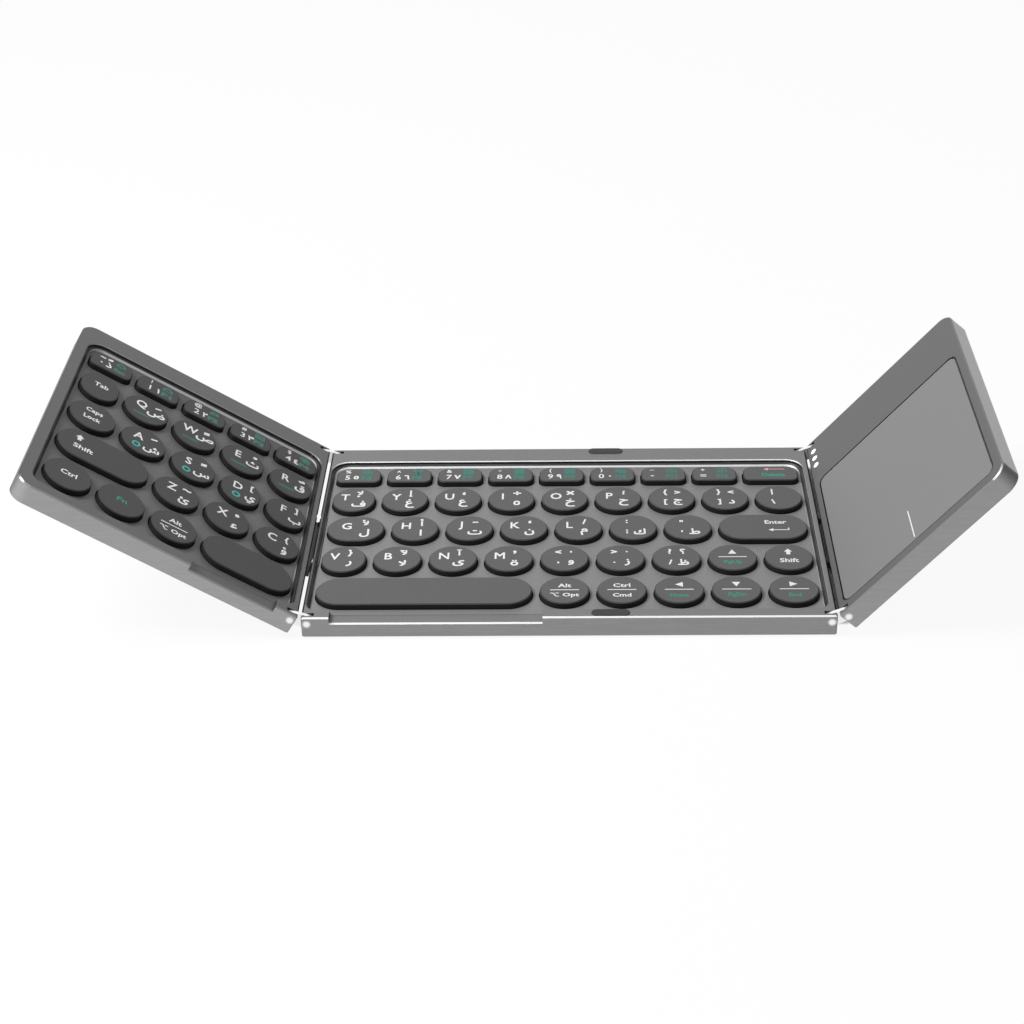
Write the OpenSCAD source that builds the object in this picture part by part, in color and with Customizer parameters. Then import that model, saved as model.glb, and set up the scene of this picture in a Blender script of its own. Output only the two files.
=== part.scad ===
// Three-panel folding keyboard: a middle key panel, a left key wing and a right touchpad wing.
// Each wing is joined to the middle by link plates with a pin at either end, so that it can
// lie flat beside the middle panel or fold over onto it.
// X runs along the middle panel, Y from the front edge to the back, Z up.
// The origin is under the centre of the middle panel, on the surface that its feet stand on.

/* [Panels] */
// Depth of all three panels, front to back
panel_d = 98; // [88:0.5:108]
// Thickness of a panel without its feet
panel_h = 6.4; // [6.2:0.1:8]
// Width of the middle key panel
middle_w = 152.8; // [136:0.1:168]
// Width of the left key wing
left_w = 87.4; // [78:0.1:97]
// Width of the right touchpad wing
right_w = 63.3; // [56:0.1:70]
// Radius of the free corners of both wings
wing_corner_r = 4.5; // [3:0.1:6]
// Radius of the corners beside the hinges
hinge_corner_r = 0.8; // [0.7:0.1:1]
// Thickness of the outer walls
wall = 1; // [0.9:0.05:1.1]
// Chamfer round the top edges
edge_chamfer = 0.4; // [0.2:0.05:0.5]
// Deeper chamfer along the top of each hinge edge, which lets the edges pass each other
hinge_chamfer = 0.6; // [0.55:0.05:0.8]

/* [Key recess] */
// Width of the raised bezel along the front edge
front_bezel = 4.2; // [3.8:0.1:4.6]
// Width of the raised bezel along the back edge
back_bezel = 8.2; // [7.6:0.1:8.6]
// Bezel beside the left hinge of the middle panel
middle_left_bezel = 1; // [1:0.1:1.2]
// Bezel beside the right hinge of the middle panel
middle_right_bezel = 2; // [1.6:0.1:2.2]
// Bezel beside the hinge of the left wing
left_hinge_bezel = 2; // [1.6:0.1:2.2]
// Bezel along the free edge of the left wing
left_outer_bezel = 3.6; // [3:0.1:4]
// Depth from the bezel down to the key deck
deck_drop = 1.9; // [1.6:0.1:2.1]
// Thickness of the key deck
deck_t = 0.8; // [0.6:0.05:0.9]
// Width of the ledge that carries the key deck
deck_ledge = 1.2; // [1:0.1:1.3]
// Height of the polished border that slopes down to the key deck all round
border_h = 0.9; // [0.5:0.05:0.95]
// Width of the flat top of that border
border_flat = 0.1; // [0.05:0.05:0.15]
// Radius of the two front corners of a recess
recess_front_r = 3.5; // [3:0.1:5]
// Radius of the two back corners of a recess
recess_back_r = 5.5; // [4:0.1:6]
// Thickness left above the hollow inside a bezel
bezel_roof = 1.2; // [1:0.1:1.3]
// Chamfer round the rim of a recess
rim_chamfer = 0.25; // [0.1:0.05:0.3]
// Start of the finger notch in the middle panel's front bezel, from the left hinge edge
middle_notch_start = 8; // [7:0.5:12]
// Length of that notch
middle_notch_l = 61; // [50:0.5:70]
// Start of the finger notch in the left wing's front bezel, from its hinge edge
left_notch_start = 7.1; // [6.6:0.1:12]
// Length of that notch
left_notch_l = 26.8; // [20:0.1:40]

/* [Keys] */
// Depth of a number key
number_key_d = 8.6; // [7.5:0.1:9.5]
// Radius of the two front corners of a number key
number_key_front_r = 2.2; // [1.5:0.1:3.5]
// Radius of the two back corners of a number key
number_key_back_r = 3.4; // [2:0.1:4]
// Gap between the letter keys of a row
key_gap = 2.3; // [2:0.05:2.5]
// Gap between the keys of a number row
number_key_gap = 2.2; // [2:0.05:2.5]
// Gap between letter rows
row_gap = 3.15; // [2.8:0.05:3.3]
// Gap between the number row and the first letter row
number_row_gap = 3.7; // [3.4:0.05:4]
// Space between the keys and the front of the recess
key_front_margin = 3; // [2.5:0.1:3.5]
// Space between the number keys and the back of the recess
key_back_margin = 4.05; // [3:0.05:5]
// Space between the keys and the sides of the recess in the middle panel
middle_key_margin = 1.95; // [1.7:0.05:2.2]
// Space between the keys and the hinge side of the recess in the left wing
left_key_margin = 1.6; // [1.5:0.05:1.8]
// Space between the keys and the outer side of the recess in the left wing
left_outer_margin = 2.1; // [1.6:0.05:2.5]
// Width of the T and V keys at the left end of their rows
edge_key_w = 13.1; // [12:0.1:14]
// Width of the wide G key
g_key_w = 17.3; // [16:0.1:18]
// Width of the delete key
delete_key_w = 17.1; // [16:0.1:18]
// Width of the escape key
esc_key_w = 13.7; // [13:0.1:14.5]
// Width of the tab key
tab_key_w = 12.1; // [11:0.1:13]
// How much narrower the D and F keys are than the other letter keys
home_key_cut = 1.2; // [0:0.1:2]
// How far the key tops lie below the bezel
key_below_bezel = 0.1; // [0.05:0.05:0.3]
// Travel of a key
key_travel = 1.2; // [0.9:0.1:1.2]
// Thickness of a key's top
key_top_t = 1; // [0.8:0.1:1.2]
// Thickness of a key's skirt
key_skirt_t = 0.8; // [0.6:0.05:1]
// Chamfer round a key's top
key_chamfer = 0.3; // [0.1:0.05:0.5]
// Clearance round a key in its hole
key_clearance = 0.35; // [0.25:0.05:0.45]
// Width of a key's retaining tab
tab_w = 3; // [2:0.5:4]
// How far a tab reaches out from its key
tab_reach = 0.8; // [0.7:0.05:0.9]
// Thickness of a tab
tab_t = 0.5; // [0.3:0.05:0.5]
// Radius of the plunger under a key's top
plunger_r = 1.6; // [1.2:0.1:2]
// Width over that of a letter key from which a key has two pairs of tabs
wide_key_ratio = 1.5; // [1.3:0.1:1.8]

/* [Switches] */
// Thickness of the switch sheet with its backing plate
sheet_t = 0.8; // [0.6:0.05:0.85]
// Height left of a rubber dome when its key is pressed down
dome_pressed_h = 0.4; // [0.3:0.05:0.5]
// Radius of a dome's foot
dome_foot_r = 3.2; // [2.8:0.1:3.6]
// Radius of a dome's head
dome_head_r = 1.7; // [1.4:0.1:2]
// Thickness of the rubber
dome_t = 0.35; // [0.25:0.05:0.45]

/* [Covers and feet] */
// Thickness of the bottom covers
cover_t = 1; // [0.9:0.05:1.1]
// Height of the feet below the covers
foot_h = 0.8; // [0.5:0.1:1.2]
// Radius of a foot
foot_r = 4; // [3:0.1:5]
// Depth of the pocket that a foot is glued into
foot_pocket = 0.4; // [0.2:0.05:0.5]
// Distance of a foot's centre from the front or back edge
foot_edge = 11; // [10:0.5:15]
// Distance of a foot's centre from the side edge
foot_side = 13; // [12:0.5:16]
// The same beside the left wing's hinge
left_hinge_foot_side = 21; // [14:0.5:24]
// Radius of a cover screw's shank
screw_r = 0.7; // [0.6:0.05:0.8]
// Radius of a cover screw's head
screw_head_r = 1.4; // [1.3:0.05:1.5]
// Length of a cover screw
screw_l = 3.6; // [3:0.1:4]
// Radius of a screw boss
boss_r = 1.9; // [1.7:0.05:2]
// Distance of the middle cover's outer screws from its side edges
middle_screw_side = 10.6; // [9:0.1:16]
// The same on the left wing
left_screw_side = 17.5; // [10:0.5:24]
// The same on the right wing, for the two screws along the front edge
right_screw_side = 10; // [9:0.5:14]
// Width of the tongues that hook a cover behind its front wall
tongue_w = 8; // [6:0.5:10]
// Length of the rubber pads that meet the folded wings
bumper_l = 11; // [9:0.1:12]
// Width of those pads
bumper_w = 3.2; // [2.6:0.1:3.3]
// How far those pads stand above the bezel
bumper_proud = 0.3; // [0.1:0.05:0.35]
// Depth of the pocket that a pad is glued into
bumper_pocket = 0.5; // [0.3:0.05:0.6]
// Distance of those pads from the front or back edge
bumper_edge = 0.5; // [0.4:0.05:0.6]

/* [Hinges] */
// Angle of the left wing above the plane of the middle panel
left_wing_angle = 31.9; // [0:0.1:180]
// Angle of the left links above that plane
left_link_angle = 16.8; // [0:0.1:90]
// Angle of the right wing above the plane of the middle panel
right_wing_angle = 48.9; // [0:0.1:180]
// Angle of the right links above that plane
right_link_angle = 21.8; // [0:0.1:90]
// Distance from a hinge edge in to the pin
pin_inset = 1.6; // [1.5:0.05:1.65]
// Depth of the pin below the bezel
pin_depth = 2.2; // [2.2:0.05:2.4]
// Gap between the bezels when a wing is folded over
fold_gap = 0.5; // [0.5:0.05:0.8]
// Radius of a pin's shank
pin_r = 0.8; // [0.7:0.05:0.9]
// Radius of a pin's head
pin_head_r = 1.25; // [1.15:0.05:1.4]
// Thickness of a pin's head
pin_head_t = 0.45; // [0.3:0.05:0.5]
// Length of a pin that lies in the block behind the link
pin_seat = 1.2; // [1:0.1:1.5]
// Radial clearance of a pin in a link
pin_clearance = 0.05; // [0.02:0.01:0.08]
// Radius of a link plate's ends
link_r = 2; // [1.8:0.05:2.1]
// Thickness of a link plate
link_t = 1.2; // [1:0.05:1.3]
// Clearance on each side of a link in its slot
link_clearance = 0.1; // [0.05:0.01:0.15]
// Thickness of the wall outside a link
link_cheek = 1.15; // [1:0.05:1.2]
// Width of the solid corner that carries a pin
corner_block = 6; // [5.5:0.1:7]

/* [Cable bridges] */
// Length of the bridge that carries the flat cable across a hinge gap
bridge_l = 27.5; // [24:0.5:30]
// Distance of the bridge's centre from the middle of the hinge, towards the front
bridge_offset = 4.75; // [3:0.25:6]
// Clearance between the bridge and the panels
bridge_clearance = 0.2; // [0.15:0.05:0.25]
// Radius of the bridge's hinge beads
bead_r = 0.45; // [0.4:0.01:0.5]
// Clearance round a bead
bead_clearance = 0.1; // [0.05:0.01:0.15]
// Width of the arms between bead and bridge
arm_w = 2.4; // [2:0.1:3]
// Thickness of those arms
arm_t = 0.6; // [0.4:0.05:0.65]
// Width of the flat cable
cable_w = 16; // [12:0.5:18]
// Thickness of the flat cable
cable_t = 0.18; // [0.1:0.01:0.2]

/* [Touchpad wing] */
// Distance of the touchpad from the hinge edge
pad_inset = 2.8; // [2.7:0.05:3]
// Distance of the touchpad from the outer edge
pad_outer = 3.3; // [3:0.1:4.5]
// Distance of the touchpad from the front edge
pad_front = 4.2; // [4:0.1:4.6]
// Distance of the touchpad from the back edge
pad_back = 24.8; // [24:0.1:27]
// Corner radius of the touchpad
pad_r = 2.7; // [2:0.1:4]
// Gap round the touchpad
pad_gap = 0.3; // [0.25:0.05:0.4]
// How far the touchpad lies below the bezel
pad_below_bezel = 0.1; // [0.05:0.05:0.2]
// Thickness of the touchpad's face plate
pad_t = 1; // [0.9:0.05:1.1]
// Thickness of the sensor board under it
sensor_t = 0.8; // [0.6:0.05:0.9]
// Travel of the touchpad's front edge
pad_travel = 0.4; // [0.2:0.05:0.4]
// Width of the tongues at the touchpad's back edge, which it tilts on
pad_tongue_w = 6; // [4:0.5:8]
// How far those tongues reach under the bezel
pad_tongue_l = 1.2; // [0.8:0.1:1.5]
// Depth of the lugs at the touchpad's sides
pad_side_d = 4; // [3:0.5:6]
// Width of the touchpad's switch
switch_w = 5.2; // [4:0.1:6]
// Radius of the switch's button
switch_button_r = 1.5; // [1:0.1:2]
// Distance of the switch from the touchpad's front edge
switch_back = 7; // [5:0.5:12]
// Thickness of the top of the touchpad wing
right_top_t = 1.1; // [1:0.05:1.15]
// Radius of an indicator light
light_r = 1.05; // [0.9:0.05:1.2]
// Distance of the lights from the hinge edge
light_inset = 2.7; // [2.6:0.1:3.2]
// Distance of the rearmost light from the back edge
light_back = 6.5; // [6.4:0.1:8]
// Spacing of the lights
light_pitch = 4.3; // [4:0.1:5]
// Gap between the touchpad and the battery and main board behind it
bay_gap = 2.2; // [2:0.1:2.6]
// Distance of the battery from the outer edge
battery_side = 7; // [7:0.1:9]
// Distance between the battery and the screw boss beside it
battery_gap = 0.9; // [0.5:0.1:3]
// Depth of the battery
battery_d = 18.5; // [16:0.5:19]
// Thickness of the battery
battery_t = 3.6; // [3:0.1:3.8]
// Radius of the battery's corners
battery_edge_r = 1; // [0.5:0.1:1.5]
// Width of the main board
board_w = 15.5; // [14:0.1:15.5]
// Thickness of the main board
board_t = 0.8; // [0.6:0.1:1]
// Width of the chips on the main board
chip_w = 4; // [3:0.1:5]
// Height of those chips
chip_t = 1; // [0.8:0.1:1.2]
// Width of the charging port
port_w = 8.94; // [8.9:0.01:9]
// Height of the charging port
port_h = 3.16; // [3.1:0.01:3.2]
// Length of the charging port
port_l = 7.3; // [6.5:0.1:8]
// Width of the tongue inside the charging port
port_tongue_w = 6.7; // [6.5:0.1:6.8]
// Thickness of that tongue
port_tongue_t = 0.7; // [0.6:0.05:0.8]
// Distance between the main board and the screw boss beside it
board_gap = 0.5; // [0.3:0.1:1]
// Distance between the main board and the hinge wall
board_side = 0.6; // [0.4:0.1:1]
// Wall of the charging port's shell
port_wall = 0.3; // [0.2:0.05:0.4]
// Distance of the charging port from the hinge edge
port_inset = 11.5; // [11:0.1:12]

/* [Hidden] */
$fn = 48;

// Small overlap that keeps cuts from sharing a face
eps = 0.01;
// Play between glued or stacked pieces
fit = 0.1;
// Play between a pin or screw and the hole that holds it
tight_fit = 0.02;

deck_top = panel_h - deck_drop;
deck_bottom = deck_top - deck_t;
key_top = panel_h - key_below_bezel;
tab_top = deck_bottom - fit;
key_bottom = tab_top - tab_t;
sheet_top = cover_t + sheet_t;
pin_z = panel_h - pin_depth;
link_l = 2 * pin_depth + fold_gap;
link_slot = link_t + 2 * link_clearance;
link_y = panel_d / 2 - link_cheek - link_slot / 2;
pin_l = link_cheek + link_slot + pin_seat;
recess_front_y = -panel_d / 2 + front_bezel;
recess_back_y = panel_d / 2 - back_bezel;
recess_d = recess_back_y - recess_front_y;
recess_y = (recess_back_y + recess_front_y) / 2;
recess_r = [recess_front_r, recess_front_r, recess_back_r, recess_back_r];
dome_h = key_travel + dome_pressed_h;
bridge_y = -bridge_offset;
bridge_top = -(pin_inset + bridge_clearance);

// Recess of each key panel, as [first x, last x] from the panel's left or hinge edge
middle_recess = [middle_left_bezel, middle_w - middle_right_bezel];
left_recess = [left_hinge_bezel, left_w - left_outer_bezel];

// Block of keys of each panel, as [first x, width], and the width of its letter keys
middle_block = [
    middle_recess[0] + middle_key_margin,
    middle_recess[1] - middle_recess[0] - 2 * middle_key_margin,
];
left_block = [
    left_recess[0] + left_key_margin,
    left_recess[1] - left_recess[0] - left_key_margin - left_outer_margin,
];
middle_key_w = (middle_block[1] - edge_key_w - 8 * key_gap) / 8;
left_key_w = (left_block[1] - tab_key_w - 4 * key_gap) / 4;
// Depth of the letter keys, four rows of which share what the number row leaves
key_d = (
    recess_d - key_front_margin - key_back_margin - number_key_d - number_row_gap - 3 * row_gap
) / 4;

// Key rows from the back row to the front one, from low x to high x. The 0s share what is left
middle_rows = [
    [for (i = [1:8]) 0, delete_key_w],
    [edge_key_w, for (i = [1:8]) middle_key_w],
    [g_key_w, for (i = [1:6]) middle_key_w, 0],
    [edge_key_w, for (i = [1:8]) middle_key_w],
    [0, for (i = [1:5]) middle_key_w],
];
left_home_key_w = left_key_w - home_key_cut;
left_rows = [
    [for (i = [1:4]) 0, esc_key_w],
    [for (i = [1:4]) left_key_w, tab_key_w],
    [left_home_key_w, left_home_key_w, left_key_w, left_key_w, 0],
    [for (i = [1:3]) left_key_w, 0],
    [0, for (i = [1:3]) left_key_w],
];

function sum(v, n) = n == 0 ? 0 : v[n - 1] + sum(v, n - 1);
function filled(row, block_w, gap) =
    let (
        left_over = block_w - sum(row, len(row)) - gap * (len(row) - 1),
        shares = len([for (w = row) if (w == 0) w])
    )
    [for (w = row) w == 0 ? left_over / shares : w];
function row_gap_x(row) = row == 0 ? number_key_gap : key_gap;
function row_depth(row) = row == 0 ? number_key_d : key_d;
function row_y(row) =
    row == 0
        ? row_y(1) + key_d / 2 + number_row_gap + number_key_d / 2
        : recess_front_y + key_front_margin + key_d / 2 + (4 - row) * (key_d + row_gap);
// Every key of a panel as [row, place in the row, x, y, width, depth, pairs of tabs]
function keys_of(rows, block, letter_w) = [
    for (row = [0:4])
        let (gap = row_gap_x(row), widths = filled(rows[row], block[1], gap))
        for (i = [0:len(widths) - 1])
            [
                row, i, block[0] + sum(widths, i) + i * gap + widths[i] / 2, row_y(row),
                widths[i], row_depth(row), widths[i] > wide_key_ratio * letter_w ? 2 : 1,
            ],
];
middle_keys = keys_of(middle_rows, middle_block, middle_key_w);
left_keys = keys_of(left_rows, left_block, left_key_w);
number_key_r = [number_key_front_r, number_key_front_r, number_key_back_r, number_key_back_r];
function keys_in(keys, row, first, last) =
    [for (k = keys) if (k[0] == row && k[1] >= first && k[1] <= last) k];

metal = [0.5, 0.5, 0.51];
dark_metal = [0.4, 0.4, 0.41];
deck_grey = [0.55, 0.55, 0.55];
key_grey = [0.36, 0.36, 0.37];
rubber = [0.08, 0.08, 0.08];
steel = [0.88, 0.88, 0.9];
board_green = [0.1, 0.3, 0.18];
amber = [0.75, 0.5, 0.15];
pad_grey = [0.56, 0.56, 0.56];
light_white = [0.95, 0.95, 0.93];
foil = [0.7, 0.7, 0.72];

// ---- Basic shapes ----

// Outline with its own radius at each corner: front left, front right, back right, back left
module outline(w, d, r) {
    polygon([
        [-w / 2 + r[0], -d / 2], [w / 2 - r[1], -d / 2],
        [w / 2, -d / 2 + r[1]], [w / 2, d / 2 - r[2]],
        [w / 2 - r[2], d / 2], [-w / 2 + r[3], d / 2],
        [-w / 2, d / 2 - r[3]], [-w / 2, -d / 2 + r[0]],
    ]);
    translate([-w / 2 + r[0], -d / 2 + r[0]]) circle(r[0]);
    translate([w / 2 - r[1], -d / 2 + r[1]]) circle(r[1]);
    translate([w / 2 - r[2], d / 2 - r[2]]) circle(r[2]);
    translate([-w / 2 + r[3], d / 2 - r[3]]) circle(r[3]);
}

// Post of a rounded corner, with the chamfer c at its top
module post(r, h, c) {
    cylinder(r = r, h = h - c);
    translate([0, 0, h - c]) cylinder(r1 = r, r2 = r - c, h = c);
}

// Plate with rounded corners and a chamfer c round its top edge
module slab(w, d, h, r, c) {
    left = max(r[0], r[3]);
    right = max(r[1], r[2]);
    translate([-w / 2 + r[0], 0, 0]) rotate([90, 0, 90]) linear_extrude(w - r[0] - r[1])
        polygon([[-d / 2, 0], [0, 0], [0, h], [-d / 2 + c, h], [-d / 2, h - c]]);
    translate([-w / 2 + r[3], 0, 0]) rotate([90, 0, 90]) linear_extrude(w - r[3] - r[2])
        polygon([[0, 0], [d / 2, 0], [d / 2, h - c], [d / 2 - c, h], [0, h]]);
    translate([-w / 2, d / 2 - r[3], 0]) rotate([90, 0, 0]) linear_extrude(d - r[0] - r[3])
        polygon([[0, 0], [left, 0], [left, h], [c, h], [0, h - c]]);
    translate([w / 2, d / 2 - r[2], 0]) rotate([90, 0, 0]) linear_extrude(d - r[1] - r[2])
        polygon([[-right, 0], [0, 0], [0, h - c], [-c, h], [-right, h]]);
    translate([-w / 2 + r[0], -d / 2 + r[0], 0]) post(r[0], h, c);
    translate([w / 2 - r[1], -d / 2 + r[1], 0]) post(r[1], h, c);
    translate([w / 2 - r[2], d / 2 - r[2], 0]) post(r[2], h, c);
    translate([-w / 2 + r[3], d / 2 - r[3], 0]) post(r[3], h, c);
}

// Round-ended or rounded plate with one radius, centred, with a chamfer c round its top
module pill(w, d, h, r, c) {
    dx = w / 2 - r;
    dy = d / 2 - r;
    if (dx > eps)
        translate([-dx, 0, 0]) rotate([90, 0, 90]) linear_extrude(2 * dx)
            polygon([
                [-d / 2, 0], [d / 2, 0], [d / 2, h - c],
                [d / 2 - c, h], [-d / 2 + c, h], [-d / 2, h - c],
            ]);
    if (dy > eps)
        translate([0, dy, 0]) rotate([90, 0, 0]) linear_extrude(2 * dy)
            polygon([
                [-w / 2, 0], [w / 2, 0], [w / 2, h - c],
                [w / 2 - c, h], [-w / 2 + c, h], [-w / 2, h - c],
            ]);
    for (x = dx > eps ? [-dx, dx] : [0], y = dy > eps ? [-dy, dy] : [0])
        translate([x, y, 0]) post(r, h, c);
}

// Outline of a pill, grown by g
module pill_outline(w, d, r, g = 0) {
    dx = w / 2 - r;
    dy = d / 2 - r;
    if (dx > eps) square([2 * dx, d + 2 * g], center = true);
    if (dy > eps) square([w + 2 * g, 2 * dy], center = true);
    for (x = dx > eps ? [-dx, dx] : [0], y = dy > eps ? [-dy, dy] : [0])
        translate([x, y]) circle(r + g);
}

// ---- Where the panels stand ----

module mirrored_if(flip) {
    if (flip) mirror([1, 0, 0]) children();
    else children();
}

// Middle panel, drawn from its left hinge edge at x = 0
module at_middle() {
    translate([-middle_w / 2, 0, foot_h]) children();
}

// Link, drawn from its pin in the middle panel at the origin, with x towards the wing
module at_link(flip, link_angle) {
    mirrored_if(flip) translate([middle_w / 2 - pin_inset, 0, foot_h + pin_z])
        rotate([0, -link_angle, 0]) children();
}

// Wing, drawn from its hinge edge at x = 0 outwards
module at_wing(flip, link_angle, wing_angle) {
    at_link(flip, link_angle) translate([link_l, 0, 0])
        rotate([0, link_angle - wing_angle, 0]) translate([-pin_inset, 0, -pin_z]) children();
}

module at_left_link() at_link(true, left_link_angle) children();
module at_right_link() at_link(false, right_link_angle) children();
module at_left_wing() at_wing(true, left_link_angle, left_wing_angle) children();
module at_right_wing() at_wing(false, right_link_angle, right_wing_angle) children();

// Both hinge edges of the middle panel
module at_middle_edges() {
    children();
    translate([middle_w, 0, 0]) mirror([1, 0, 0]) children();
}

// Both ends of a hinge edge
module at_hinge_ends() {
    children();
    mirror([0, 1, 0]) children();
}

// ---- Hinge edge: slots, pin holes, bridge seat and chamfer, with the edge at x = 0 ----

module along_y(l) rotate([90, 0, 0]) linear_extrude(l, center = true) children();

module link_slot_cut() {
    r = link_r + link_clearance;
    translate([pin_inset, -link_y, pin_z]) along_y(link_slot) {
        circle(r);
        translate([-r - pin_inset, -r]) square([r + pin_inset, 2 * r]);
        translate([-r - pin_inset, 0]) square([2 * r + pin_inset, panel_h]);
    }
}

module pin_hole_cut() {
    translate([pin_inset, -panel_d / 2, pin_z]) rotate([-90, 0, 0]) {
        translate([0, 0, -eps]) cylinder(r = pin_head_r + tight_fit, h = pin_head_t + eps);
        cylinder(r = pin_r + tight_fit, h = pin_l);
    }
}

// The arms swing through a quarter turn, so their slots open outwards at 45 degrees each way
module bridge_seat_cut() {
    r = bead_r + bead_clearance;
    half = arm_t / sqrt(2) + fit;
    out = pin_inset + 1;
    translate([pin_inset, bridge_y, pin_z]) along_y(bridge_l + 4 * fit) circle(r);
    for (s = [-1, 1])
        translate([pin_inset, bridge_y + s * (bridge_l - arm_w) / 2, pin_z])
            along_y(arm_w + 2 * fit)
                polygon([
                    [-out, -out - half], [0, -half], [r, -half],
                    [r, half], [0, half], [-out, out + half],
                ]);
    translate([-1, bridge_y - cable_w / 2 - fit, pin_z + bridge_top - 2 * fit])
        cube([1 + pin_inset + deck_ledge, cable_w + 2 * fit, cable_t + 6 * fit]);
}

module hinge_chamfer_cut() {
    c = hinge_chamfer;
    translate([0, 0, panel_h]) along_y(panel_d + 2)
        polygon([[-1, -c - 1], [-1, 1], [c + 1, 1]]);
}

module hinge_edge_cuts() {
    at_hinge_ends() {
        link_slot_cut();
        pin_hole_cut();
    }
    bridge_seat_cut();
    hinge_chamfer_cut();
}

// ---- Pieces that all panels share ----

// Screws of each panel as [x, y]. Those of the right wing are the two at the back, then the front
channel_y = recess_back_y + back_bezel / 2;
middle_screws =
    [for (x = [middle_screw_side, middle_w / 2, middle_w - middle_screw_side]) [x, channel_y]];
left_screws = [for (x = [left_screw_side, left_w - left_screw_side]) [x, channel_y]];
board_x = wall + board_side;
back_screw_x = board_x + board_w + board_gap + boss_r;
back_screw_y = panel_d / 2 - wall - boss_r - 4 * fit;
front_screw_y = -panel_d / 2 + wall + boss_r - fit;
right_screws = [
    [back_screw_x, back_screw_y], [right_w - battery_side + boss_r + fit, back_screw_y],
    [right_screw_side, front_screw_y], [right_w - right_screw_side, front_screw_y],
];
function foot_places(x0, x1) =
    [for (x = [x0, x1], s = [-1, 1]) [x, s * (panel_d / 2 - foot_edge)]];
middle_foot_places = foot_places(foot_side, middle_w - foot_side);
left_foot_places = foot_places(left_hinge_foot_side, left_w - foot_side);
right_foot_places = foot_places(foot_side, right_w - foot_side);

// Bottom cover with pockets for the feet and countersunk screw holes
module bottom_cover(w, r, foot_places, screws, tongues) {
    difference() {
        union() {
            translate([w / 2, 0, 0]) linear_extrude(cover_t)
                outline(w - 2 * (wall + fit), panel_d - 2 * (wall + fit), r);
            for (x = tongues)
                translate([x - tongue_w / 2, -panel_d / 2 + wall / 2, cover_t / 2])
                    cube([tongue_w, wall, cover_t / 2]);
        }
        for (p = foot_places)
            translate([p[0], p[1], -eps]) cylinder(r = foot_r + fit, h = foot_pocket + eps);
        for (p = screws) {
            translate([p[0], p[1], -eps]) cylinder(r = screw_r + fit, h = cover_t + 2 * eps);
            translate([p[0], p[1], -eps])
                cylinder(r1 = screw_head_r + fit, r2 = screw_r + fit, h = screw_head_r - screw_r);
        }
    }
}

module tongue_pockets(tongues) {
    for (x = tongues)
        translate([x - tongue_w / 2 - fit, -panel_d / 2 + wall / 2 - fit, cover_t / 2 - fit])
            cube([tongue_w + 2 * fit, wall, cover_t / 2 + 2 * fit]);
}

module feet(foot_places) {
    for (p = foot_places)
        translate([p[0], p[1], -foot_h]) cylinder(r = foot_r, h = foot_h + foot_pocket);
}

module cover_screws(screws) {
    for (p = screws) {
        translate([p[0], p[1], fit / 2])
            cylinder(r1 = screw_head_r, r2 = screw_r, h = screw_head_r - screw_r);
        translate([p[0], p[1], fit / 2]) cylinder(r = screw_r, h = screw_l);
    }
}

module screw_holes(screws) {
    for (p = screws)
        translate([p[0], p[1], 0]) cylinder(r = screw_r + tight_fit, h = screw_l + 2 * fit);
}

// Two pins at the ends of one hinge edge
module hinge_pins() {
    at_hinge_ends() translate([pin_inset, -panel_d / 2, pin_z]) rotate([-90, 0, 0]) {
        cylinder(r = pin_head_r, h = pin_head_t - fit / 2);
        cylinder(r = pin_r, h = pin_l - fit);
    }
}

// ---- Key panels ----

// Space above the ledge that holds the deck, with the chamfered rim
module recess_cut(recess) {
    w = recess[1] - recess[0];
    c = rim_chamfer;
    wide_r = [for (r = recess_r) r + c];
    translate([recess[0] + w / 2, recess_y, deck_bottom])
        linear_extrude(panel_h - deck_bottom + eps) outline(w, recess_d, recess_r);
    translate([recess[0] + w / 2, recess_y, panel_h + 1]) mirror([0, 0, 1])
        slab(w + 2 * c, recess_d + 2 * c, 1 + c, wide_r, c);
}

// Opening inside the ledge, down through the panel
module ledge_cut(recess) {
    w = recess[1] - recess[0];
    translate([recess[0] + w / 2, recess_y, -1]) linear_extrude(deck_bottom + 2)
        outline(w - 2 * deck_ledge, recess_d - 2 * deck_ledge, [for (r = recess_r) r - deck_ledge]);
}

// Finger notch that lowers the front bezel to the deck, with a chamfer along its front edge
module notch_cut(start, l) {
    c = edge_chamfer;
    translate([start, -panel_d / 2 - 1, deck_top]) cube([l, front_bezel + 1, deck_drop + 1]);
    translate([start, -panel_d / 2, deck_top]) rotate([90, 0, 90]) linear_extrude(l)
        polygon([[-1, -c - 1], [-1, 1], [c + 1, 1]]);
}

// Hollow from below in the front and back bezels, between x0 and x1
module channel_cuts(x0, x1, screws) {
    back = recess_back_y + wall;
    difference() {
        translate([x0, back, cover_t - eps])
            cube([x1 - x0, panel_d / 2 - wall - back, panel_h - bezel_roof - cover_t]);
        for (p = screws) translate([p[0], p[1], 0]) cylinder(r = boss_r, h = panel_h);
    }
    translate([x0, -panel_d / 2 + wall, cover_t - eps])
        cube([x1 - x0, front_bezel - 2 * wall, deck_top - bezel_roof - cover_t]);
}

// Frame of a key panel, before the cuts of its hinge edges
module key_frame(w, r, recess, notch, channel, screws, tongues) {
    difference() {
        translate([w / 2, 0, 0]) slab(w, panel_d, panel_h, r, edge_chamfer);
        recess_cut(recess);
        ledge_cut(recess);
        notch_cut(notch[0], notch[1]);
        channel_cuts(channel[0], channel[1], screws);
        translate([w / 2, 0, -1]) linear_extrude(cover_t + 1)
            outline(w - 2 * wall, panel_d - 2 * wall, [for (x = r) max(x - wall, 0.2)]);
        tongue_pockets(tongues);
        screw_holes(screws);
    }
}

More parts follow.
